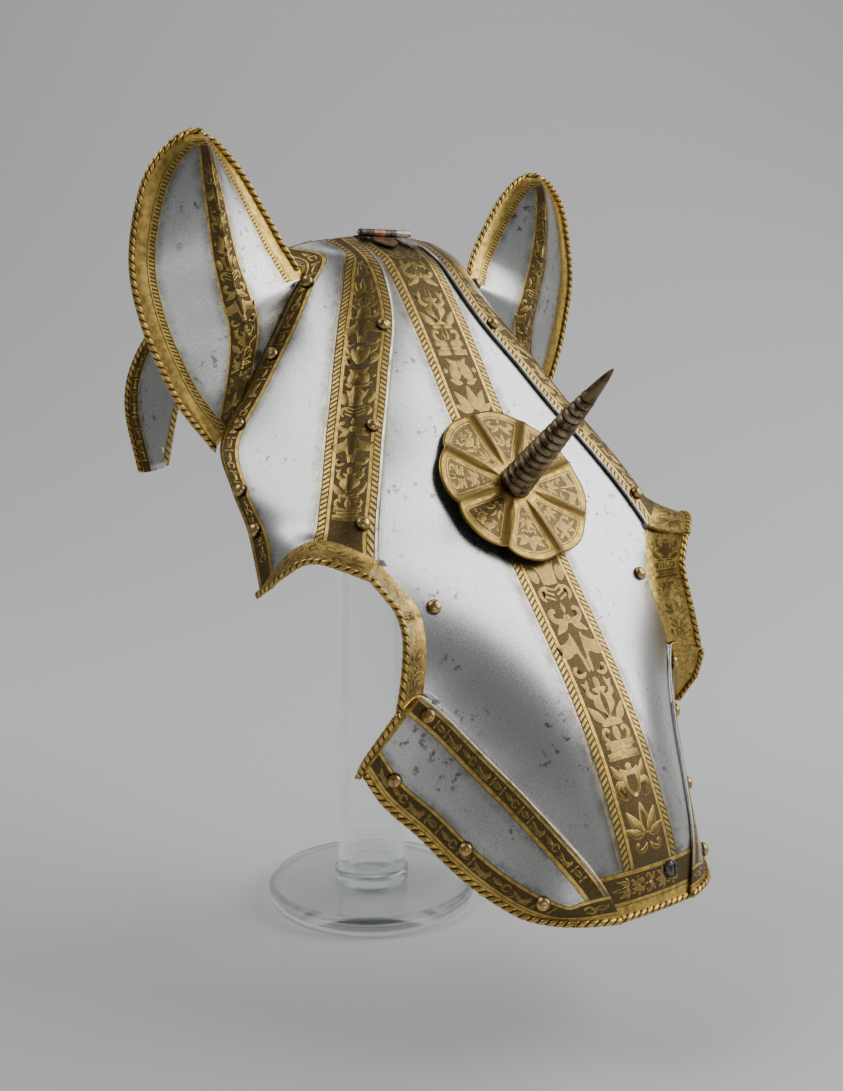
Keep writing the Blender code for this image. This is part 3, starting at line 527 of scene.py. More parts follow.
temple_rows = np.linspace(0, 8, 101)
behind = np.interp(temple_rows, *BAND_BEHIND)
span = length(temple(temple_rows, 1) - temple(temple_rows, RIDGE))[:, 0]
ridge_line = np.full(len(temple_rows), RIDGE)
band_end = RIDGE + (1 - RIDGE) * behind / span
border_start = np.maximum(1 - (1 - RIDGE) * BORDER / span, band_end + 0.01)
temple_across = np.concatenate((
    np.linspace(0 * ridge_line, ridge_line, 9, axis=1), onward(ridge_line, band_end, 7),
    onward(band_end, border_start, 12), onward(border_start, ridge_line * 0 + 1, 5)), axis=1)
eased_share = np.interp(temple_rows, (0, 5.5, 7.6, 8), (0.15, 0.35, 1, 1))[:, None, None]
side_guards, side_sheets = {}, {}
for hand, side in SIDES.items():
    flat = raised(temple, temple_rows[:, None], temple_across, side)
    flat = flat + (softened(flat.transpose(1, 0, 2), 16).transpose(1, 0, 2) - flat) * eased_share
    walked = travel(flat, 1)
    on_band = np.where(temple_across <= RIDGE, walked, behind[:, None] + walked[:, 8:9] - walked)
    along = np.broadcast_to(travel(flat[:, 8:9]), walked.shape)
    bm = new_sheet()
    patch(bm, flat, band=(on_band, along), edge=(walked[:, -1:] - walked, along))
    side_guards[hand] = turned_out(bm, flat[-1], flat[-2], TEMPLE_FLANGE, temple_across[-1], side)
    side_sheets[hand] = flat
    sheet_metal(f"side_plate_{hand}", bm, [SIDE_STEEL, GILT_GUARD], (side, -0.4, 0.2))


# ---------------------------------------------------------------- cheek plates
# A small steel plate on each side of the nose, below the eye. It laps over the main plate, is
# riveted to it along a narrow etched band, and its free edge carries a wide gilt border.

CHEEK_CORNER = 20.0        # radius at which the border turns the plate's front lower corner
CHEEK_FLANGE = columns("place x y z", ((0, 25, -8, -6), (0.5, 18, -4, -5), (0.75, 12, -1, -3), (1, 5, 0, -1)))
CHEEK_BAND = ((0, "gilt"), (0.7, "steel"), (1.8, "dark"), (2.2, "gilt"), (3.6, "dark"), (4.0, "ground"),
              (11.5, "dark"), (11.9, "gilt"), (14.2, "dark"), (14.7, "steel"))
CHEEK_BORDER = ((0, "gilt"), (6, "dark"), (6.4, "gilt"), (8, "dark"), (8.4, "ground"), (16.6, "dark"),
                (17, "gilt"), (19, "dark"), (19.5, "steel"))
CHEEK_STEEL = armour_steel("cheek_plate_steel", band=CHEEK_BAND, edge=CHEEK_BORDER)
cheek_rows = np.linspace(0, 7, 85)
cheek_across = np.linspace(0, 1, 29)
cheek_guards, cheek_sheets = {}, {}
for hand, side in SIDES.items():
    flat = raised(cheek, cheek_rows[:, None], cheek_across, side)
    walked, down = travel(flat, 1), travel(flat)
    to_edge, to_front = walked[:, -1:] - walked, down[-1:] - down
    corner = np.hypot(np.maximum(CHEEK_CORNER - to_edge, 0), np.maximum(CHEEK_CORNER - to_front, 0))
    near = np.where(corner > 0, CHEEK_CORNER - corner, np.minimum(to_edge, to_front))
    bm = new_sheet()
    patch(bm, flat, band=(walked, down), edge=(near, down))
    cheek_guards[hand] = turned_out(bm, flat[0], flat[1], CHEEK_FLANGE, cheek_across, side)
    cheek_sheets[hand] = flat
    sheet_metal(f"cheek_plate_{hand}", bm, [CHEEK_STEEL, GILT_GUARD], (side, -1, 0.3))


# ---------------------------------------------------------------- ear guards
# Each is a hollow shell hammered to a keel at the front, with a turned and roped rim. Its foot is
# riveted behind the side plate. The keel band and the fluted rim are gilt.

EAR = columns("inner_x inner_y inner_z keel_x keel_y keel_z outer_x outer_y outer_z", (
    (143, -6, 559, 146, -13, 560, 150, -9, 559), (128, -6, 552, 145, -22, 550, 165, -6, 552),
    (112, -6, 537, 144, -27, 531, 181, -3, 534), (98, -7, 517, 141, -30, 507, 190, -1, 507),
    (86, -9, 498, 137, -31, 483, 194, -1, 477), (79, -13, 481, 130, -31, 459, 190, -2, 449),
    (92, -20, 455, 124, -31, 437, 180, -5, 418), (112, -25, 422, 128, -29, 408, 164, -9, 385),
    (135, -27, 380, 139, -27, 369, 144, -20, 357)))
EAR_FEET = 8               # last row of EAR
EAR_RISE = {1: -7.0, -1: 5.0}
EAR_LEAVES, EAR_COVERED = 4.3, 5.4         # rows between which the inner rim goes behind the side plate
EAR_SEAT = (1.3, 4.75)     # rows of the side plate that the covered rows lie behind
EAR_TAB, EAR_DEPTH, EAR_TAB_FROM = 11.0, 2.4, 4.75
EAR_ROPE_TO, EAR_RIM_TO = 5.0, 5.2         # rows where the inner rim's rope and its border end
EAR_FLARE, EAR_FLARE_FROM = 4.0, 0.75
KEEL = 16                  # column of the keel in an ear's sheet
KEEL_BAND = columns("row half_width", ((0, 3), (0.6, 6), (2, 8), (4, 10.5), (6, 12.5), (8, 10)))
EAR_KEEL = ((0, "gilt"), (1.6, "dark"), (2.0, "ground"), (40, "steel"))
EAR_RIM = ((0, "gilt"), (11.5, "dark"), (12, "gilt"), (13, "rope"), (16.2, "dark"), (16.6, "gilt"),
           (17.4, "steel"))
EAR_STEEL = armour_steel("ear_steel", 2.6, 0.0, band=EAR_KEEL, edge=EAR_RIM)


def ear_behind(row, width):
    """Point behind the side plate's rear edge, `width` mm in from it, for a covered row of EAR."""
    temple_row = np.interp(row, (EAR_COVERED, EAR_FEET), EAR_SEAT)
    wide = length(temple(temple_row, 1) - temple(temple_row, RIDGE))[..., 0] / (1 - RIDGE)
    return temple(temple_row, 1 - width / wide) - EAR_DEPTH * outward(temple, temple_row, 0.85)


def ear(row, across, side):
    """Point of the ear's front; across runs from its inner rim (0) over its keel (0.5) to its outer (1)."""
    row, across = grids(row, across)
    at = at_row(EAR, row)
    inner, keel, outer = point(*at[:3]), point(*at[3:6]), point(*at[6:])
    covered = np.clip((row - EAR_LEAVES) / (EAR_COVERED - EAR_LEAVES), 0, 1)
    covered = covered * covered * (3 - 2 * covered)
    inner = inner + (ear_behind(np.maximum(row, EAR_COVERED), 0) - inner) * covered[..., None]
    share = abs(2 * across - 1)
    lift = np.maximum(0, (share - EAR_FLARE_FROM) / (1 - EAR_FLARE_FROM)) ** 2
    lift = EAR_FLARE * lift * np.minimum(1, row + 0.2)
    lift = np.where(across < 0.5, lift * (1 - covered), lift)
    rise = EAR_RISE[side] * np.maximum(0, 1 - row / EAR_COVERED)
    end = np.where((across < 0.5)[..., None], inner, outer)
    return mirrored(keel + (end - keel) * share[..., None] + point(0, -lift, rise), side)


ear_rows = np.concatenate((np.linspace(0, 1, 22)[:-1], np.linspace(1, EAR_FEET, 85)))
ear_across = np.linspace(0, 1, 2 * KEEL + 1)
keel_half = np.interp(ear_rows, *KEEL_BAND)
ear_sheets = {}
for hand, side in SIDES.items():
    flat = ear(ear_rows[:, None], ear_across, side)
    walked = travel(flat, 1)
    to_rim = np.where(ear_across < 0.5, walked, walked[:, -1:] - walked)
    down = travel(flat[:, KEEL:KEEL + 1])
    to_rim = np.minimum(to_rim, down * 1.2 + 0.1)
    to_rim = np.where((ear_across < 0.5) & (ear_rows[:, None] > EAR_RIM_TO), FAR, to_rim)
    to_band = keel_half[:, None] - abs(walked - walked[:, KEEL:KEEL + 1])
    bm = new_sheet()
    patch(bm, flat, band=(to_band, np.broadcast_to(down, walked.shape)), edge=(to_rim, travel(flat)))
    covered = ear_rows >= EAR_TAB_FROM
    strip = ruled(flat[covered, 0], mirrored(ear_behind(ear_rows[covered], EAR_TAB), side), 3)
    patch(bm, strip, 1, band=(strip[..., 0], strip[..., 1]))
    ear_sheets[hand] = flat
    sheet_metal(f"ear_{hand}", bm, [EAR_STEEL, GILT_GUARD], (0, -1, 0))


# ---------------------------------------------------------------- poll plate
# The plate behind the ears, hinged to the crest of the main plate so that it can swing up. It is
# bright steel with a gilt strip along each roped edge, and a strap hole low in each wing.

POLL = columns("front_x front_y front_z rear_x rear_y rear_z hollow", (
    (0, -8, 500, 0, 108, 485, 0), (26, -8, 498.5, 32, 111, 482, 0), (56, 7, 492, 64, 121, 469, 1),
    (86, 32, 468, 92, 138, 445, 3), (103, 62, 430, 108, 160, 410, 5), (109, 86, 387, 113, 168, 373, 6),
    (111, 108, 335, 112, 150, 323, 5)))
POLL_FEET, POLL_FLARE, POLL_FLARE_FROM, POLL_FLARED_BY = 6, 3.0, 0.8, 3
POLL_TURN, POLL_TURNED_BY = math.radians(80), 4
POLL_STRIP = ((0, "gilt"), (4.5, "dark"), (5, "ground"), (11, "dark"), (11.5, "gilt"), (12.6, "steel"))
POLL_STEEL = armour_steel("poll_plate_steel", edge=POLL_STRIP)
POLL_HOLE, POLL_HOLE_RADIUS = np.array((111, 126.0, 343.0)), 2.2


def poll(row, across):
    """Point of the poll plate: row runs from the crest down one side, across from its front to its rear."""
    row, across = grids(row, across)
    at = at_row(POLL, abs(row))
    front, rear = point(*at[:3]), point(*at[3:6])
    turn = POLL_TURN * np.minimum(abs(row) / POLL_TURNED_BY, 1)
    inward = point(-np.sin(turn), 0, -np.cos(turn))
    lift = np.maximum(0, abs(2 * across - 1) - POLL_FLARE_FROM) / (1 - POLL_FLARE_FROM)
    depth = at.hollow * bulge(across) - POLL_FLARE * lift * np.minimum(1, abs(row) / POLL_FLARED_BY)
    made = front + (rear - front) * across[..., None] + inward * depth[..., None]
    return made * point(np.where(row < 0, -1, 1), 1, 1)


def pierce(bm, centre, radius, corners=16):
    """Cut a round hole right through a sheet along X."""
    near = [cell for cell in bm.faces if (cell.calc_center_median() - centre).length < radius + 0.008]
    for turn in np.linspace(0, 2 * math.pi, corners, endpoint=False):
        out = Vector((0, math.cos(turn), math.sin(turn)))
        parts = {part for cell in near for part in (cell, *cell.edges, *cell.verts)}
        made = bmesh.ops.bisect_plane(bm, geom=list(parts), plane_co=centre + out * radius, plane_no=out)
        near = [part for part in made["geom"] if isinstance(part, bmesh.types.BMFace)]
    gone = [cell for cell in near if (cell.calc_center_median() - centre).yz.length < radius * 0.995]
    bmesh.ops.delete(bm, geom=gone, context="FACES")


poll_rows = np.linspace(-POLL_FEET, POLL_FEET, 121)
poll_sheet = poll(poll_rows[:, None], np.linspace(0, 1, 33))
walked = travel(poll_sheet, 1)
bm = new_sheet()
patch(bm, poll_sheet, edge=(np.minimum(walked, walked[:, -1:] - walked), travel(poll_sheet)))
away = length(poll_sheet - POLL_HOLE)[..., 0]
hole_x = poll_sheet[np.unravel_index(away.argmin(), away.shape)][0]
for side in SIDES.values():
    pierce(bm, Vector((hole_x * side, *POLL_HOLE[1:])) * MM, POLL_HOLE_RADIUS * MM)
sheet_metal("poll_plate", bm, [POLL_STEEL], (0, 0.1, 1), "poll")


# ---------------------------------------------------------------- roped edges
# The free edges of every plate are rolled over a wire, and the roll is filed with slanting notches
# so that it looks like twisted rope. The rolls are gilt, and coloured near black deep in their notches.

ROPE_RADIUS, ROPE_INSET, ROPE_STEP, ROPE_SIDES = 2.2, 1.8, 0.6, 20
NOTCH, NOTCH_PITCH, NOTCH_DARK = 0.3, 5.4, (0.045, 0.030, 0.014, 1)
WELD = 0.00001             # corners of a closed skin nearer than this are one


def rolled_gilt():
    made = Finish("gilt_rope")
    gold, tone, _ = made.gilding((260, 4, 0.65), (70, 5, 0.7), (0.35, 0.7), (0.52, 0.72, 0.6))
    # the rolls are coloured near black where their notches are deepest
    colour = made.mix(made.step(made.read_map()[0], 0.15, 0.6), gold, NOTCH_DARK)
    return made.done(colour, made.step(tone, 0.3, 0.7, 0.26, 0.42), (tone, 0.0001, 0.5))


def skin(rings, level, frame=Matrix()):
    """Closed skin over rings of points, placed by a frame; its map holds a level for each point."""
    bm = new_sheet()
    patch(bm, rings, band=(level, level))
    bmesh.ops.remove_doubles(bm, verts=bm.verts[:], dist=WELD)
    bmesh.ops.holes_fill(bm, edges=[line for line in bm.edges if line.is_boundary])
    bmesh.ops.recalc_face_normals(bm, faces=bm.faces[:])
    bmesh.ops.transform(bm, matrix=frame, verts=bm.verts[:])
    return bm


GILT_ROPE = rolled_gilt()


def roped_edge(name, edge, inside, body="armour"):
    """Twisted roll along an edge; `inside` holds the points beside it on the sheet."""
    walked = travel(edge)
    at = np.linspace(0, walked[-1], int(walked[-1] / ROPE_STEP) + 1)

    def spaced(points, passes):
        return softened(point(*[np.interp(at, walked, column) for column in points.T]), passes)

    inward = unit(inside - edge)
    centre, first = spaced(edge + inward * ROPE_INSET, 4), spaced(inward, 6)
    tangent = unit(np.gradient(centre, axis=0))
    first = unit(first - tangent * (first * tangent).sum(axis=1, keepdims=True))
    second = np.cross(tangent, first)
    angle = np.linspace(0, 2 * math.pi, ROPE_SIDES + 1)
    depth = (1 - abs(np.sin(angle + math.pi * at[:, None] / NOTCH_PITCH))) ** 2
    ends = np.minimum(1, np.minimum(at, walked[-1] - at) / 1.5 + 0.35)
    radius = ROPE_RADIUS * (1 - NOTCH * depth) * ends[:, None]
    ring = first[:, None] * np.cos(angle)[:, None] + second[:, None] * np.sin(angle)[:, None]
    show(name, skin(centre[:, None] + ring * radius[..., None], depth), [GILT_ROPE], body)


roped_edge("main_foot_rope", main_points[-1], main_points[-2])
for hand, side in SIDES.items():
    for name, guards in (("main", main_guards), ("side", side_guards), ("cheek", cheek_guards)):
        roped_edge(f"{name}_eye_rope_{hand}", guards[hand][:, -1], guards[hand][:, -2])
    flat = cheek_sheets[hand]
    roped_edge(f"cheek_rope_{hand}", np.concatenate((flat[:, -1], flat[-1, -2::-1])),
               np.concatenate((flat[:-1, -2], flat[-2:-1, -2], flat[-2, -2::-1])))
    flat = ear_sheets[hand]
    bare = ear_rows < EAR_ROPE_TO
    roped_edge(f"ear_rope_{hand}", np.concatenate((flat[bare, 0][::-1], flat[0, 1:-1], flat[:, -1])),
               np.concatenate((flat[bare, 1][::-1], flat[2, 1:-1], flat[:, -2])))
    wing = poll_rows * side > 1.6
    roped_edge(f"poll_front_rope_{hand}", poll_sheet[wing, 0], poll_sheet[wing, 1], "poll")
roped_edge("poll_rear_rope", poll_sheet[:, -1], poll_sheet[:, -2], "poll")


# ---------------------------------------------------------------- etched trophies
# Trophies of arms, urns and leaves stand gilt and bright on the darkened ground of every band. Each
# is a low shape with a dark outline; they are drawn the same way on the left and on the right.

SHAPES = {
    "disc": ((0.5, 0), (0.35, 0.35), (0, 0.5), (-0.35, 0.35), (-0.5, 0), (-0.35, -0.35), (0, -0.5),
             (0.35, -0.35)),
    "oval": ((0.3, 0.5), (0.2, 0.86), (0, 1), (-0.2, 0.86), (-0.3, 0.5), (-0.2, 0.14), (0, 0), (0.2, 0.14)),
    "bar": ((-0.5, -0.1), (0, -0.1), (0.5, -0.1), (0.52, 0), (0.5, 0.1), (0, 0.1), (-0.5, 0.1), (-0.52, 0)),
    "leaf": ((0, 0), (0.16, 0.14), (0.27, 0.42), (0.17, 0.74), (0.02, 1), (-0.1, 0.7), (-0.15, 0.4),
             (-0.09, 0.16)),
    "curl": ((0, 0), (0.26, 0.04), (0.5, 0.32), (0.48, 0.7), (0.22, 0.96), (-0.12, 0.9), (-0.2, 0.66),
             (-0.02, 0.56), (0.1, 0.68), (0.22, 0.56), (0.16, 0.32)),
    "fish": ((0, 0), (0.22, 0.1), (0.38, 0.36), (0.28, 0.62), (0.4, 0.94), (0.16, 0.84), (-0.06, 1),
             (-0.02, 0.7), (0.08, 0.46), (-0.02, 0.24), (-0.2, 0.14)),
    "urn": ((-0.24, 0), (0.24, 0), (0.08, 0.13), (0.16, 0.24), (0.38, 0.46), (0.36, 0.66), (0.14, 0.82),
            (0.28, 1), (-0.28, 1), (-0.14, 0.82), (-0.36, 0.66), (-0.38, 0.46), (-0.16, 0.24), (-0.08, 0.13)),
    "cuirass": ((-0.28, 0), (0.28, 0), (0.24, 0.22), (0.36, 0.5), (0.46, 0.84), (0.26, 0.78), (0.16, 1),
                (-0.16, 1), (-0.26, 0.78), (-0.46, 0.84), (-0.36, 0.5), (-0.24, 0.22)),
    "shield": ((0, 0), (0.28, 0.28), (0.4, 0.62), (0.4, 0.98), (0.14, 0.9), (-0.14, 0.9), (-0.4, 0.98),
               (-0.4, 0.62), (-0.28, 0.28)),
    "helm": ((-0.38, 0), (0.34, 0), (0.38, 0.16), (0.28, 0.26), (0.34, 0.54), (0.14, 0.84), (-0.14, 0.86),
             (-0.38, 0.58), (-0.4, 0.3)),
    "flag": ((0, 0), (0.08, 0), (0.1, 0.46), (0.4, 0.4), (0.62, 0.5), (0.5, 0.66), (0.66, 0.86), (0.36, 0.8),
             (0.1, 0.9), (0.04, 1), (-0.02, 0.9)),
}
# Each trophy is its height and its parts: shape, x, y, size, turn, and 1 where it has a mirrored twin.
TROPHIES = {
    "urn": (2.35, (("urn", 0, 0.15, 1.35, 0, 0), ("leaf", 0.34, 0.1, 0.95, -38, 1),
                   ("fish", 0.42, 1.15, 0.85, -8, 1), ("oval", 0, 1.6, 0.5, 0, 0),
                   ("bar", 0, 0.02, 1.0, 0, 0))),
    "cuirass": (2.25, (("cuirass", 0, 0.85, 1.3, 0, 0), ("bar", 0.26, 0.66, 0.5, 25, 1),
                       ("bar", 0.32, 0.42, 0.5, 25, 1), ("bar", 0.38, 0.18, 0.5, 25, 1),
                       ("oval", 0.68, 0.95, 0.8, -12, 1), ("curl", 0.62, 0.02, 0.7, 10, 1))),
    "shields": (1.5, (("oval", 0.5, 0.15, 1.05, 22, 1), ("leaf", 0.1, 0.0, 0.7, -70, 1),
                      ("leaf", 0.06, 0.95, 0.6, -50, 1), ("disc", 0, 0.7, 0.3, 0, 0),
                      ("disc", 0.84, 0.7, 0.26, 0, 1))),
    "banners": (1.85, (("flag", 0.04, 0.1, 1.6, -8, 1), ("oval", 0, 0.05, 0.5, 0, 0),
                       ("curl", 0.3, 0.0, 0.66, -70, 1))),
    "shield": (1.75, (("shield", 0, 0.1, 1.2, 0, 0), ("curl", 0.5, 0.1, 0.8, -10, 1),
                      ("leaf", 0.5, 0.92, 0.75, -30, 1), ("disc", 0, 1.4, 0.34, 0, 0))),
    "helm": (1.85, (("helm", 0, 0.1, 1.05, 0, 0), ("leaf", 0.12, 1.0, 0.85, -62, 1),
                    ("leaf", 0.05, 1.02, 0.8, -20, 1), ("fish", 0.55, 0.08, 0.85, -12, 1))),
    "drums": (1.45, (("bar", 0, 0.12, 1.5, 0, 0), ("bar", 0, 0.38, 1.1, 0, 0), ("bar", 0, 0.62, 1.4, 0, 0),
                     ("curl", 0.4, 0.72, 0.65, -8, 1), ("oval", 0, 0.76, 0.6, 0, 0))),
    "palm": (1.7, (("leaf", 0, 0.35, 1.2, 0, 0), ("leaf", 0.1, 0.35, 1.15, -34, 1),
                   ("leaf", 0.14, 0.3, 0.95, -68, 1), ("curl", 0.1, 0.0, 0.62, -100, 1))),
    "bow": (1.45, (("curl", 0.12, 0.62, 0.85, -52, 1), ("leaf", 0.1, 0.62, 0.95, -128, 1),
                   ("disc", 0, 0.62, 0.42, 0, 0), ("leaf", 0, 0.9, 0.5, 0, 0))),
    "sprig": (3.6, (("leaf", 0, 1.4, 2.0, 8, 0), ("curl", 0.1, 0.2, 1.3, 0, 1))),
    "dolphin": (3.4, (("fish", -0.15, 0.2, 2.9, 0, 0), ("disc", 0.62, 0.6, 0.6, 0, 0))),
    "tablet": (3.2, (("bar", 0, 0.3, 1.7, 0, 0), ("oval", 0, 0.7, 1.7, 0, 0), ("bar", 0, 2.7, 1.7, 0, 0))),
}
GRAND = ("palm", "bow", "urn", "drums", "shields", "palm", "helm", "banners", "shield", "shields", "cuirass",
         "bow", "banners", "urn", "drums", "shield", "palm", "helm")
SMALL = ("sprig", "tablet", "dolphin", "sprig", "dolphin", "tablet")
RELIEF_STEP, RELIEF_FOOT, RELIEF_SWELL, RELIEF_GAP = 0.1, 0.06, 1.1, 0.06
RELIEF_GOLD, RELIEF_EDGE = (1.0, 0.70, 0.18, 1), (0.07, 0.046, 0.02, 1)


def relief_gilding():
    made = Finish("gilt_relief")
    level = made.read_map()[0]
    gold, tone, _ = made.gilding((300, 4, 0.65), (55, 5, 0.7), (0.40, 0.75), (0.50, 0.72, 0.7),
                                 (RELIEF_GOLD, GOLD_PALE, GOLD_DEEP))
    line = made.times(made.step(level, 0.8, 1.0), made.step(level, 1.6, 1.3, 0, 0.8))
    colour = made.mix(made.step(level, 0.9, 0.3, 0, 0.9), made.mix(line, gold, GOLD_WORN), RELIEF_EDGE)
    return made.done(colour, made.step(tone, 0.3, 0.7, 0.24, 0.38), (tone, 0.0001, 0.4))


def rounded(corners, steps=3):
    """Smooth closed curve through corner points."""
    corners = np.array(corners)
    before, after, beyond = (np.roll(corners, shift, 0) for shift in (1, -1, -2))
    t = (np.arange(steps) / steps)[:, None, None]
    curve = 0.5 * (2 * corners + (after - before) * t
                   + (2 * before - 5 * corners + 4 * after - beyond) * t ** 2
                   + (3 * corners - before - 3 * after + beyond) * t ** 3)
    return curve.transpose(1, 0, 2).reshape(-1, 2)


def trophy_run(names, start, end, half, first=0):
    """Outlines of trophies stacked along a band of a half width, in (share of it, mm along)."""
    outlines, at, count = [], start, first
    while True:
        tall, parts = TROPHIES[names[count % len(names)]]
        at += tall * half
        if at > end:
            return outlines
        for shape, x, y, size, turn, twin in parts:
            cos, sin = math.cos(math.radians(turn)), math.sin(math.radians(turn))
            outline = rounded(SHAPES[shape]) * size * RELIEF_SWELL @ np.array(((cos, sin), (-sin, cos)))
            for flip in (1, -1)[:1 + twin]:
                outlines.append((outline + (x, y)) * (flip, -half) + (0, at))
        at += RELIEF_GAP * half
        count += 1


def on_sheet(sheet, normals, walked, along, across, down, height):
    """Points above a sheet of points, found by their mm across it and down it."""
    row = np.clip(np.interp(down, along, np.arange(len(along))), 0, len(along) - 1.001)
    above, t = row.astype(int), (row % 1)[:, None]
    widths = walked[above] * (1 - t) + walked[above + 1] * t
    column = np.array([np.interp(place, width, np.arange(len(width)))
                       for place, width in zip(across, widths)])
    column = np.clip(column, 0, sheet.shape[1] - 1.001)
    left, s = column.astype(int), (column % 1)[:, None]

    def blended(values):
        return ((values[above, left] * (1 - s) + values[above, left + 1] * s) * (1 - t)
                + (values[above + 1, left] * (1 - s) + values[above + 1, left + 1] * s) * t)

    return blended(sheet) + blended(normals) * height[:, None]


def cut_shapes(outlines, half):
    """Flat shapes raised in two steps at their rims, and cut along lines so that they can bend."""
    cut = bmesh.new()
    for outline in outlines:
        area = np.cross(outline, np.roll(outline, -1, 0)).sum()
        cut.faces.new([cut.verts.new((x * half, y, 0)) for x, y in outline[::1 if area > 0 else -1]])
    for step in (0.45, 0.4):
        bmesh.ops.inset_individual(cut, faces=cut.faces[:len(outlines)], thickness=step, depth=RELIEF_STEP,
                                   use_even_offset=True)
    for line in (-0.5, -0.22, 0, 0.22, 0.5):
        bmesh.ops.bisect_plane(cut, geom=cut.verts[:] + cut.edges[:] + cut.faces[:],
                               plane_co=(line * half, 0, 0), plane_no=(1, 0, 0))
    cut.verts.index_update()
    return cut


def emboss(name, outside, *runs, body="armour"):
    """Raise trophies on sheets. A run is (sheet, walked, along, tracks, half, outlines); its tracks are the
    mm across the sheet of the band's middle, or of its two sides and its middle."""
    bm = new_sheet()
    layer = bm.loops.layers.uv["band"]
    for sheet, walked, along, tracks, half, outlines in runs:
        normals = np.cross(np.gradient(sheet, axis=1), np.gradient(sheet, axis=0))
        normals = normals / np.maximum(length(normals), 1e-9)
        flipped = (normals * outside).sum() < 0
        cut = cut_shapes(outlines, half)
        flat = np.array([vert.co for vert in cut.verts])
        down, share = flat[:, 1], flat[:, 0] / half
        if not isinstance(tracks, tuple):
            tracks = tracks - half, tracks, tracks + half
        low, middle, high = [np.interp(down, along, np.broadcast_to(track, along.shape)) for track in tracks]
        across = middle + share * np.where(share < 0, middle - low, high - middle)
        places = on_sheet(sheet, -normals if flipped else normals, walked, along, across, down,
                          flat[:, 2] - RELIEF_FOOT)
        placed = [bm.verts.new(Vector(place) * MM) for place in places]
        for cell in cut.faces:
            corners = cell.verts[:][::-1 if flipped else 1]
            made = bm.faces.new([placed[vert.index] for vert in corners])
            for loop, vert in zip(made.loops, corners):
                loop[layer].uv = vert.co.z / RELIEF_STEP, vert.co.y
        cut.free()
    bmesh.ops.triangulate(bm, faces=[cell for cell in bm.faces if len(cell.verts) > 4])
    show(name, bm, [GILT_RELIEF], body)


GILT_RELIEF = relief_gilding()
emboss("main_plate_trophies", (0, -1, 0.5),
       (main_points, main_x, midline, 0, 14.6, trophy_run(GRAND, 14, midline[-1] - 31, 14.6)),
       (main_points.transpose(1, 0, 2), main_along.T, main_x[-1], midline[-1] - 19, 6.2,
        trophy_run(("palm", "shields", "bow"), -29, 29, 6.2)))
for hand, side in SIDES.items():
    flat = side_sheets[hand]
    walked, along, rear = travel(flat, 1), travel(flat[:, 8]), travel(flat[:, -1])
    ridge = walked[:, 8]
    emboss(f"side_plate_trophies_{hand}", (side, -0.4, 0.2),
           (flat, walked, along, (10.9, ridge, np.maximum(walked[:, 15] - 10.9, ridge + 1)), 10.5,
            trophy_run(GRAND, 34, along[-1] - 4, 10.5, 4)),
           (flat, walked, rear, walked[:, -1] - 7.7, 3.9, trophy_run(SMALL, 16, rear[-1] - 6, 3.9)))
    flat = cheek_sheets[hand]
    walked, down = travel(flat, 1), travel(flat)
    front, rear = down[:, 0], down[:, -1]
    emboss(f"cheek_plate_trophies_{hand}", (side, -1, 0.3),
           (flat, walked, front, 7.75, 3.45, trophy_run(SMALL, 15, front[-1] - 24, 3.45, 1)),
           (flat, walked, rear, walked[:, -1] - 12.5, 3.8, trophy_run(SMALL, 6, rear[-1] - 20, 3.8, 2)),
           (flat.transpose(1, 0, 2), down.T, walked[-1], down[-1] - 12.5, 3.8,
            trophy_run(SMALL, 2, walked[-1, -1] - 12, 3.8, 3)))
    flat = ear_sheets[hand]
    walked, along = travel(flat, 1), travel(flat[:, KEEL])
    keel, wide = walked[:, KEEL], keel_half - 2.2
    emboss(f"ear_trophies_{hand}", (0, -1, 0), (flat, walked, along, (keel - wide, keel, keel + wide), 8.0,
                                                trophy_run(GRAND, 26, along[-1] - 6, 8.0, 6)))
    for name, guards, up, first in (("main", main_guards, 0, 2), ("side", side_guards, -0.5, 5)):
        flat = guards[hand]
        walked, along = travel(flat, 1), travel(flat)[:, 5]
        emboss(f"{name}_guard_trophies_{hand}", (side, -1, up),
               (flat, walked, along, (5, walked[:, -1] / 2, walked[:, -1] - 5), 8.5,
                trophy_run(GRAND, 4, along[-1] - 4, 8.5, first)))
walked, along, rear = travel(poll_sheet, 1), travel(poll_sheet[:, 0]), travel(poll_sheet[:, -1])
crest = along[len(along) // 2]
front = trophy_run(SMALL, 8, crest - 44, 2.8) + trophy_run(SMALL, crest + 44, along[-1] - 8, 2.8, 3)
back = trophy_run(SMALL, 8, rear[-1] - 8, 2.8, 1)
emboss("poll_plate_trophies", (0, 0.1, 1), (poll_sheet, walked, along, 8, 2.8, front),
       (poll_sheet, walked, rear, walked[:, -1] - 8, 2.8, back), body="poll")


# ---------------------------------------------------------------- rosette
# A gilt disc with a lobed edge and eight raised ribs, hammered from one sheet. The fields between
# the ribs are bordered with fine lines and etched. The spike's shank holds it off the plate.

ROSETTE_ROW, ROSETTE_X = 6.6, 2.0
ROSETTE_RADIUS, ROSETTE_MIDDLE, ROSETTE_LOBE, ROSETTE_LOBES = 54.5, 12, 3.0, 8
ROSETTE_TURN, ROSETTE_LEAN = math.radians(11), math.radians(3)
ROSETTE_CLEAR, ROSETTE_RISE, ROSETTE_RIB, ROSETTE_THICK = 5.0, 0.6, 2.6, 1.5
PANEL_SIDE, PANEL_RIM, PANEL_FOOT = 4.2, 3.6, 17       # from a rib, the rim and the centre
PANEL_TROPHIES, PANEL_HALF, PANEL_TURNED = (18.5, 50), 7.0, 68
PANEL = ((0, "dark"), (0.55, "gilt"), (1.6, "dark"), (2.1, "ground"), (60, "steel"))


def upright(place, normal):
    """Frame that stands on a point of the face along a normal."""
    turn = Vector(normal).to_track_quat("Z", "Y").to_matrix().to_4x4()
    return Matrix.Translation(Vector(place) * MM) @ turn


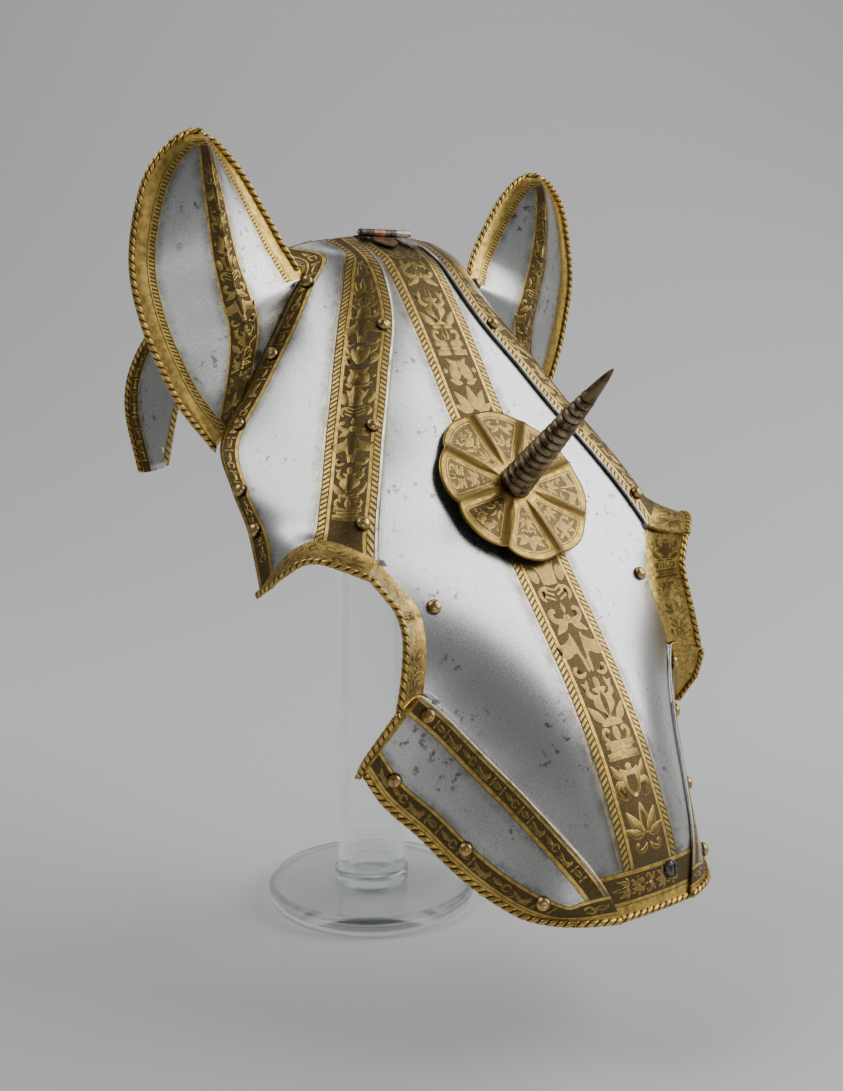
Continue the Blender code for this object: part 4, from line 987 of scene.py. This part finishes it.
def gilt_panels():
    made = Finish("etched_gilt_rosette")
    cover, gilt, _ = etched(made, "band", PANEL)
    gold, tone, _ = made.gilding((200, 5, 0.65), (60, 5, 0.7), (0.22, 0.54), (0.52, 0.74, 0.6))
    cut = made.times(cover, made.calc("SUBTRACT", 1, gilt))
    return made.done(made.mix(cut, gold, GROUND), made.step(tone, 0.3, 0.7, 0.26, 0.42),
                     (tone, 0.0002, 0.4), (made.calc("SUBTRACT", 1, cut), 0.00012, 0.6))


def rosette_point(radius, angle):
    """Point of the rosette's upper side in its own frame, in mm."""
    lobe = abs(np.sin(ROSETTE_LOBES / 2 * angle))
    share = np.maximum(0, (radius - ROSETTE_MIDDLE) / (ROSETTE_RADIUS - ROSETTE_MIDDLE))
    rib = ROSETTE_RIB * (1 - lobe) ** 3 * np.minimum(1, 3 * share)
    reach = radius + ROSETTE_LOBE * lobe * share ** 3
    return point(reach * np.cos(angle), reach * np.sin(angle), ROSETTE_RISE * (1 - share) + rib)


seat = face(ROSETTE_ROW, ROSETTE_X)
seat_normal = outward(face, ROSETTE_ROW, 0)
axis = Matrix.Rotation(-ROSETTE_LEAN, 3, "X") @ Vector(seat_normal)
rosette_frame = upright(seat + seat_normal * ROSETTE_CLEAR, axis) @ Matrix.Rotation(ROSETTE_TURN, 4, "Z")
steps = np.concatenate(([5.5, 8, 10], np.linspace(ROSETTE_MIDDLE, ROSETTE_RADIUS, 33)))
radius, angle = steps[:, None], np.linspace(0, 2 * math.pi, 36 * ROSETTE_LOBES + 1)
flat = rosette_point(radius, angle)
lobe_angle = 2 * math.pi / ROSETTE_LOBES
from_rib = np.sin(abs((angle + lobe_angle / 2) % lobe_angle - lobe_angle / 2)) * radius
panel = np.minimum(from_rib - PANEL_SIDE, ROSETTE_RADIUS - radius - PANEL_RIM)
panel = np.minimum(panel, radius - PANEL_FOOT)
bm = new_sheet()
patch(bm, flat, band=(panel, np.broadcast_to(radius, panel.shape)))
bmesh.ops.transform(bm, matrix=rosette_frame, verts=bm.verts[:])
sheet_metal("rosette", bm, [gilt_panels()], axis, thickness=ROSETTE_THICK)

disc = np.array([[rosette_frame @ (Vector(corner) * MM) for corner in row] for row in flat]) / MM
reach = np.maximum(steps * math.sin(lobe_angle / 2) - 6.0, 0.5)
panels = []
for index in range(ROSETTE_LOBES):
    run = trophy_run((GRAND[index], "palm"), *PANEL_TROPHIES, PANEL_HALF)
    panels.append((disc, (angle - (index + 0.5) * lobe_angle) * radius, steps, (-reach, 0, reach), PANEL_HALF,
                   [outline * (1, -1) + (0, PANEL_TURNED) for outline in run]))
emboss("rosette_trophies", axis, *panels)


# ---------------------------------------------------------------- spike
# A bronze-brown cone of iron, filed with one spiral groove almost to its plain tip. Its shank runs
# through the rosette into the plate.

SPIKE_LENGTH, SPIKE_RADIUS, SPIKE_TURNS, SPIKE_GROOVE, SPIKE_PLAIN = 116.0, 10.6, 15, 0.9, 0.2
SPIKE_TAPER, SPIKE_SHANK, SPIKE_LEAN = 0.55, 0.36, math.radians(4)
GAP = 0.4                  # clearance between pieces that lie on each other


def dark_bronze():
    made = Finish("dark_bronze")
    depth, tone = made.read_map()[0], made.grain(140, 5, 0.7)
    colour = made.mix(made.step(tone, 0.35, 0.65), (0.10, 0.07, 0.04, 1), (0.27, 0.19, 0.10, 1))
    colour = made.mix(made.step(depth, 0.2, 0.8), colour, (0.03, 0.022, 0.015, 1))
    bright = made.times(made.step(depth, -0.75, -0.98), made.step(tone, 0.4, 0.6))
    return made.done(made.mix(bright, colour, (0.42, 0.36, 0.27, 1)), made.step(tone, 0.3, 0.7, 0.30, 0.5),
                     (tone, 0.0003, 0.5), (made.grain(700, 3, 0.6), 0.0001, 0.4))


share, angle = np.linspace(0, 1, 241)[:, None], np.linspace(0, 2 * math.pi, 41)
groove = (0.5 - 0.5 * np.cos(angle - 2 * math.pi * SPIKE_TURNS * share / (1 - SPIKE_PLAIN))) ** 4
fade = np.clip((1 - SPIKE_PLAIN - share) / 0.04, 0, 1)
ridges = SPIKE_GROOVE * (1 - 2 * groove) * fade * (1 - 0.6 * share)
radius = SPIKE_RADIUS * (1 - share) ** SPIKE_TAPER + ridges
height = share * SPIKE_LENGTH
cone = point(radius * np.cos(angle), radius * np.sin(angle) + height * math.sin(SPIKE_LEAN),
             height * math.cos(SPIKE_LEAN))
foot = point(SPIKE_SHANK * radius[:1] * np.cos(angle), SPIKE_SHANK * radius[:1] * np.sin(angle), 0)
shank = foot - np.array([0, 0, ROSETTE_CLEAR + ROSETTE_RISE - GAP])
plain = np.zeros((2, len(angle)))
bm = skin(np.concatenate((shank, foot, cone)), np.concatenate((plain, (2 * groove - 1) * fade)),
          upright(seat + seat_normal * (ROSETTE_CLEAR + ROSETTE_RISE + GAP), axis))
show("spike_dressed", bm, [dark_bronze()], stands_for=["spike"])


# ---------------------------------------------------------------- rivets
# Domed heads of brass on iron shanks, set by hand, so each is a little flattened or leaning. Each
# head is coloured darker towards its foot.

RIVET_RADIUS, RIVET_HEIGHT, RIVET_SQUARE, RIVET_BLOW = 4.7, 4.0, 0.85, 0.10
RIVETS = {
    "band_upper": (temple, 3.05, 0.13), "band_middle": (temple, 4.75, 0.15),
    "band_lower": (temple, 6.5, 0.18), "rear_1": (temple, 1.65, 0.89), "rear_2": (temple, 3.35, 0.93),
    "rear_3": (temple, 4.65, 0.93), "rear_4": (temple, 6.0, 0.94), "rear_5": (temple, 7.0, 0.94),
    "eye": (face, 8.6, 89),
    "cheek_upper": (cheek, 0.47, 0.11), "cheek_rear": (cheek, 0.82, 0.76),
    "cheek_lower": (cheek, 3.05, 0.76), "cheek_front": (cheek, 5.2, 0.7)}


def worn_brass():
    made = Finish("worn_brass")
    foot, tone = made.read_map()[0], made.grain(300, 4, 0.65)
    colour = made.mix(made.step(tone, 0.35, 0.68), (0.60, 0.42, 0.17, 1), (0.26, 0.17, 0.065, 1))
    # the head's colour darkens towards its foot
    darkening = made.times(made.step(foot, 0.55, 0.05), 0.85)
    return made.done(made.mix(darkening, colour, (0.06, 0.045, 0.03, 1)), made.step(tone, 0.3, 0.7, 0.22, 0.38),
                     (tone, 0.0002, 0.5))


WORN_BRASS = worn_brass()
rise, angle = np.linspace(0, math.pi / 2, 11)[:, None], np.linspace(0, 2 * math.pi, 29)
width = RIVET_RADIUS * np.cos(rise) ** RIVET_SQUARE
for index, (name, (surface, row, across)) in enumerate(RIVETS.items()):
    for hand, side in SIDES.items():
        normal = mirrored(outward(surface, row, across), side)
        foot = mirrored(surface(row, across), side) + normal * (GAP if surface is face else GAP + LIFT)
        blow = 1 - RIVET_BLOW * np.clip(np.sin(rise) * np.cos(angle - index * 1.7 - side), 0, 1) ** 3
        dome = point(width * np.cos(angle), width * np.sin(angle), RIVET_HEIGHT * np.sin(rise) * blow)
        node = f"rivet_{name}_{hand}"
        bm = skin(dome, np.broadcast_to(np.sin(rise), blow.shape), upright(foot, normal))
        show(node + "_dressed", bm, [WORN_BRASS], stands_for=[node])


# ---------------------------------------------------------------- hinge and nose screw
# A small iron strap hinge on the crest, whose leaves are riveted down, and an iron screw at the
# nose. The leaves, the pin and the screw are coppery, rubbed or blackened iron, each in mottled tones.

def old_iron(name, dark, pale):
    made = Finish(name)
    tone = made.grain(240, 5, 0.7)
    return made.done(made.mix(made.step(tone, 0.4, 0.7), dark, pale),
                     made.step(made.grain(90, 3, 0.6), 0.35, 0.65, 0.32, 0.5), (tone, 0.0002, 0.5))


def left_plain(node, look):
    """Show a node's solid as it is, in a material."""
    frame["nodes"][node].data.materials.clear()
    frame["nodes"][node].data.materials.append(look)


COPPERY = old_iron("coppery_iron", (0.20, 0.11, 0.06, 1), (0.42, 0.26, 0.15, 1))
SILVERY = old_iron("rubbed_iron", (0.30, 0.27, 0.23, 1), (0.62, 0.58, 0.52, 1))
BLACKENED = old_iron("blackened_iron", (0.06, 0.05, 0.045, 1), (0.20, 0.18, 0.16, 1))
for node, look in {"hinge_front_leaf_a": COPPERY, "hinge_front_leaf_b": SILVERY,
                   "hinge_rear_leaf_a": BLACKENED, "hinge_rear_leaf_b": BLACKENED,
                   "hinge_pin": SILVERY, "nose_screw": BLACKENED}.items():
    left_plain(node, look)


# ---------------------------------------------------------------- stand
# A clear polished acrylic post on a round foot with a softened edge, with a turned ring at its
# base and a saddle on top. Plain stand-in for the mount that carries the armour.

DISC_RADIUS, DISC_THICK, DISC_ROUND, DISC_FLAT = 80.0, 14.0, 5.0, 72.0
ROD_RADIUS, ROD_TOP, RING_RADIUS, RING_HEIGHT = 26.0, 459.0, 28.5, 9.0
EASED = 0.8                # radius of the post's and the ring's edges
ROD_FOOT = DISC_THICK + GAP


def clear_acrylic():
    made = Finish("clear_acrylic", 0.0)
    made.done((0.96, 0.975, 0.98, 1), 0.01)
    made.feed(made.shader, {"Transmission Weight": 1.0, "IOR": 1.49})
    see_through = made.add("ShaderNodeBsdfTransparent", {"Color": (0.96, 0.97, 0.975, 1)})[0]
    grazing = made.step(made.add("ShaderNodeLayerWeight", {"Blend": 0.5})["Facing"], 0.0, 0.7, 0.35, 1.0)
    clear = made.add("ShaderNodeMixShader", {0: grazing, 1: see_through, 2: made.shader.outputs[0]})[0]
    made.feed(made.tree.nodes["Material Output"], {"Surface": clear})
    return made.look


def turned_clear(name, profile, closed=False):
    """Polished solid of revolution about the post's axis from (radius, height) pairs in mm."""
    bm = bmesh.new()
    verts = [bm.verts.new((r * MM, 0, h * MM)) for r, h in profile]
    lines = [bm.edges.new(pair) for pair in zip(verts, verts[1:] + (verts[:1] if closed else []))]
    bmesh.ops.spin(bm, geom=verts + lines, axis=(0, 0, 1), cent=(0, 0, 0), steps=128, angle=2 * math.pi,
                   use_merge=True)
    bmesh.ops.remove_doubles(bm, verts=bm.verts[:], dist=0.000005)
    bmesh.ops.recalc_face_normals(bm, faces=bm.faces[:])
    show(name + "_dressed", bm, [CLEAR], stands_for=[name])


def arc(centre_r, centre_h, wide, high, start, end, steps):
    turns = np.radians(np.linspace(start, end, steps))
    return [(centre_r + wide * math.cos(turn), centre_h + high * math.sin(turn)) for turn in turns]


def eased_wall(radius, foot, top):
    """Profile of an upright wall with eased edges, from its top down."""
    return (arc(radius - EASED, top - EASED, EASED, EASED, 90, 0, 4)
            + arc(radius - EASED, foot + EASED, EASED, EASED, 0, -90, 4))


CLEAR = clear_acrylic()
rim = arc(DISC_RADIUS - DISC_ROUND, DISC_THICK / 2, DISC_ROUND, DISC_THICK / 2, 84, -84, 17)
turned_clear("stand_base", [(0, DISC_THICK), (DISC_FLAT, DISC_THICK), *rim, (DISC_FLAT, 0), (0, 0)])
turned_clear("stand_rod", [(0, ROD_TOP), *eased_wall(ROD_RADIUS, ROD_FOOT, ROD_TOP), (0, ROD_FOOT)])
ring_top = ROD_FOOT + RING_HEIGHT
turned_clear("stand_ring", [(ROD_RADIUS + GAP, ring_top), *eased_wall(RING_RADIUS, ROD_FOOT, ring_top),
                            (ROD_RADIUS + GAP, ROD_FOOT)], closed=True)
left_plain("stand_rest", CLEAR)


# ---------------------------------------------------------------- floor, backdrop and lights
# A pale paper sweep and four large soft lamps: the key on the armour's left, one high behind its
# right side, a low weak one in front, and one on the backdrop.

SWEEP_LONG, SWEEP_FRONT, SWEEP_WIDE, SWEEP_SINK = 10.0, 3.0, 7, 0.0006         # metres
SWEEP_FLAT, SWEEP_BEND, SWEEP_TURN = 1.0, 4.0, math.radians(-37.68)
SWEEP_RADIUS = SWEEP_BEND * 2 / math.pi
bm = bmesh.new()
bmesh.ops.create_grid(bm, x_segments=1, y_segments=40, size=1)
for vert in bm.verts:
    run = (vert.co.y + 1) / 2 * SWEEP_LONG - SWEEP_FRONT
    bend = min(max(run - SWEEP_FLAT, 0), SWEEP_BEND) / SWEEP_BEND * math.pi / 2
    back = min(run, SWEEP_FLAT) + SWEEP_RADIUS * math.sin(bend)
    rise = SWEEP_RADIUS * (1 - math.cos(bend)) + max(run - SWEEP_FLAT - SWEEP_BEND, 0) - SWEEP_SINK
    vert.co = Matrix.Rotation(SWEEP_TURN, 3, "Z") @ Vector((vert.co.x * SWEEP_WIDE, back, rise))
mesh = bpy.data.meshes.new("paper_sweep")
bm.to_mesh(mesh)
bm.free()
mesh.shade_smooth()
mesh.materials.append(Finish("pale_paper", 0.0).done((0.72, 0.72, 0.72, 1), 0.9))
sweep = bpy.data.objects.new("paper_sweep", mesh)
bpy.context.scene.collection.objects.link(sweep)

for name, place, aim, size, power in (
        ("key_lamp", (1.78, -1.26, 1.66), (0, -0.15, 0.3), (2.6, 2.0), 56),
        ("rear_lamp", (-1.13, 0.64, 2.14), (0, -0.15, 0.3), (1.4, 1.4), 17),
        ("front_lamp", (-0.79, -2.31, 0.42), (0, -0.15, 0.35), (1.0, 0.45), 3),
        ("backdrop_lamp", (0.8, 1.0, 3.0), (1.9, 2.5, 0.6), (3.0, 2.0), 18)):
    light = bpy.data.lights.new(name, "AREA")
    light.shape = "RECTANGLE"
    light.size, light.size_y = size
    light.energy = power
    lamp = bpy.data.objects.new(name, light)
    lamp.location = place
    lamp.rotation_euler = (Vector(aim) - Vector(place)).to_track_quat("-Z", "Y").to_euler()
    bpy.context.scene.collection.objects.link(lamp)
world = bpy.data.worlds.new("studio")
bpy.context.scene.world = world
world.use_nodes = True
background = world.node_tree.nodes["Background"].inputs
background["Color"].default_value = (0.5, 0.5, 0.5, 1)
background["Strength"].default_value = 0.38
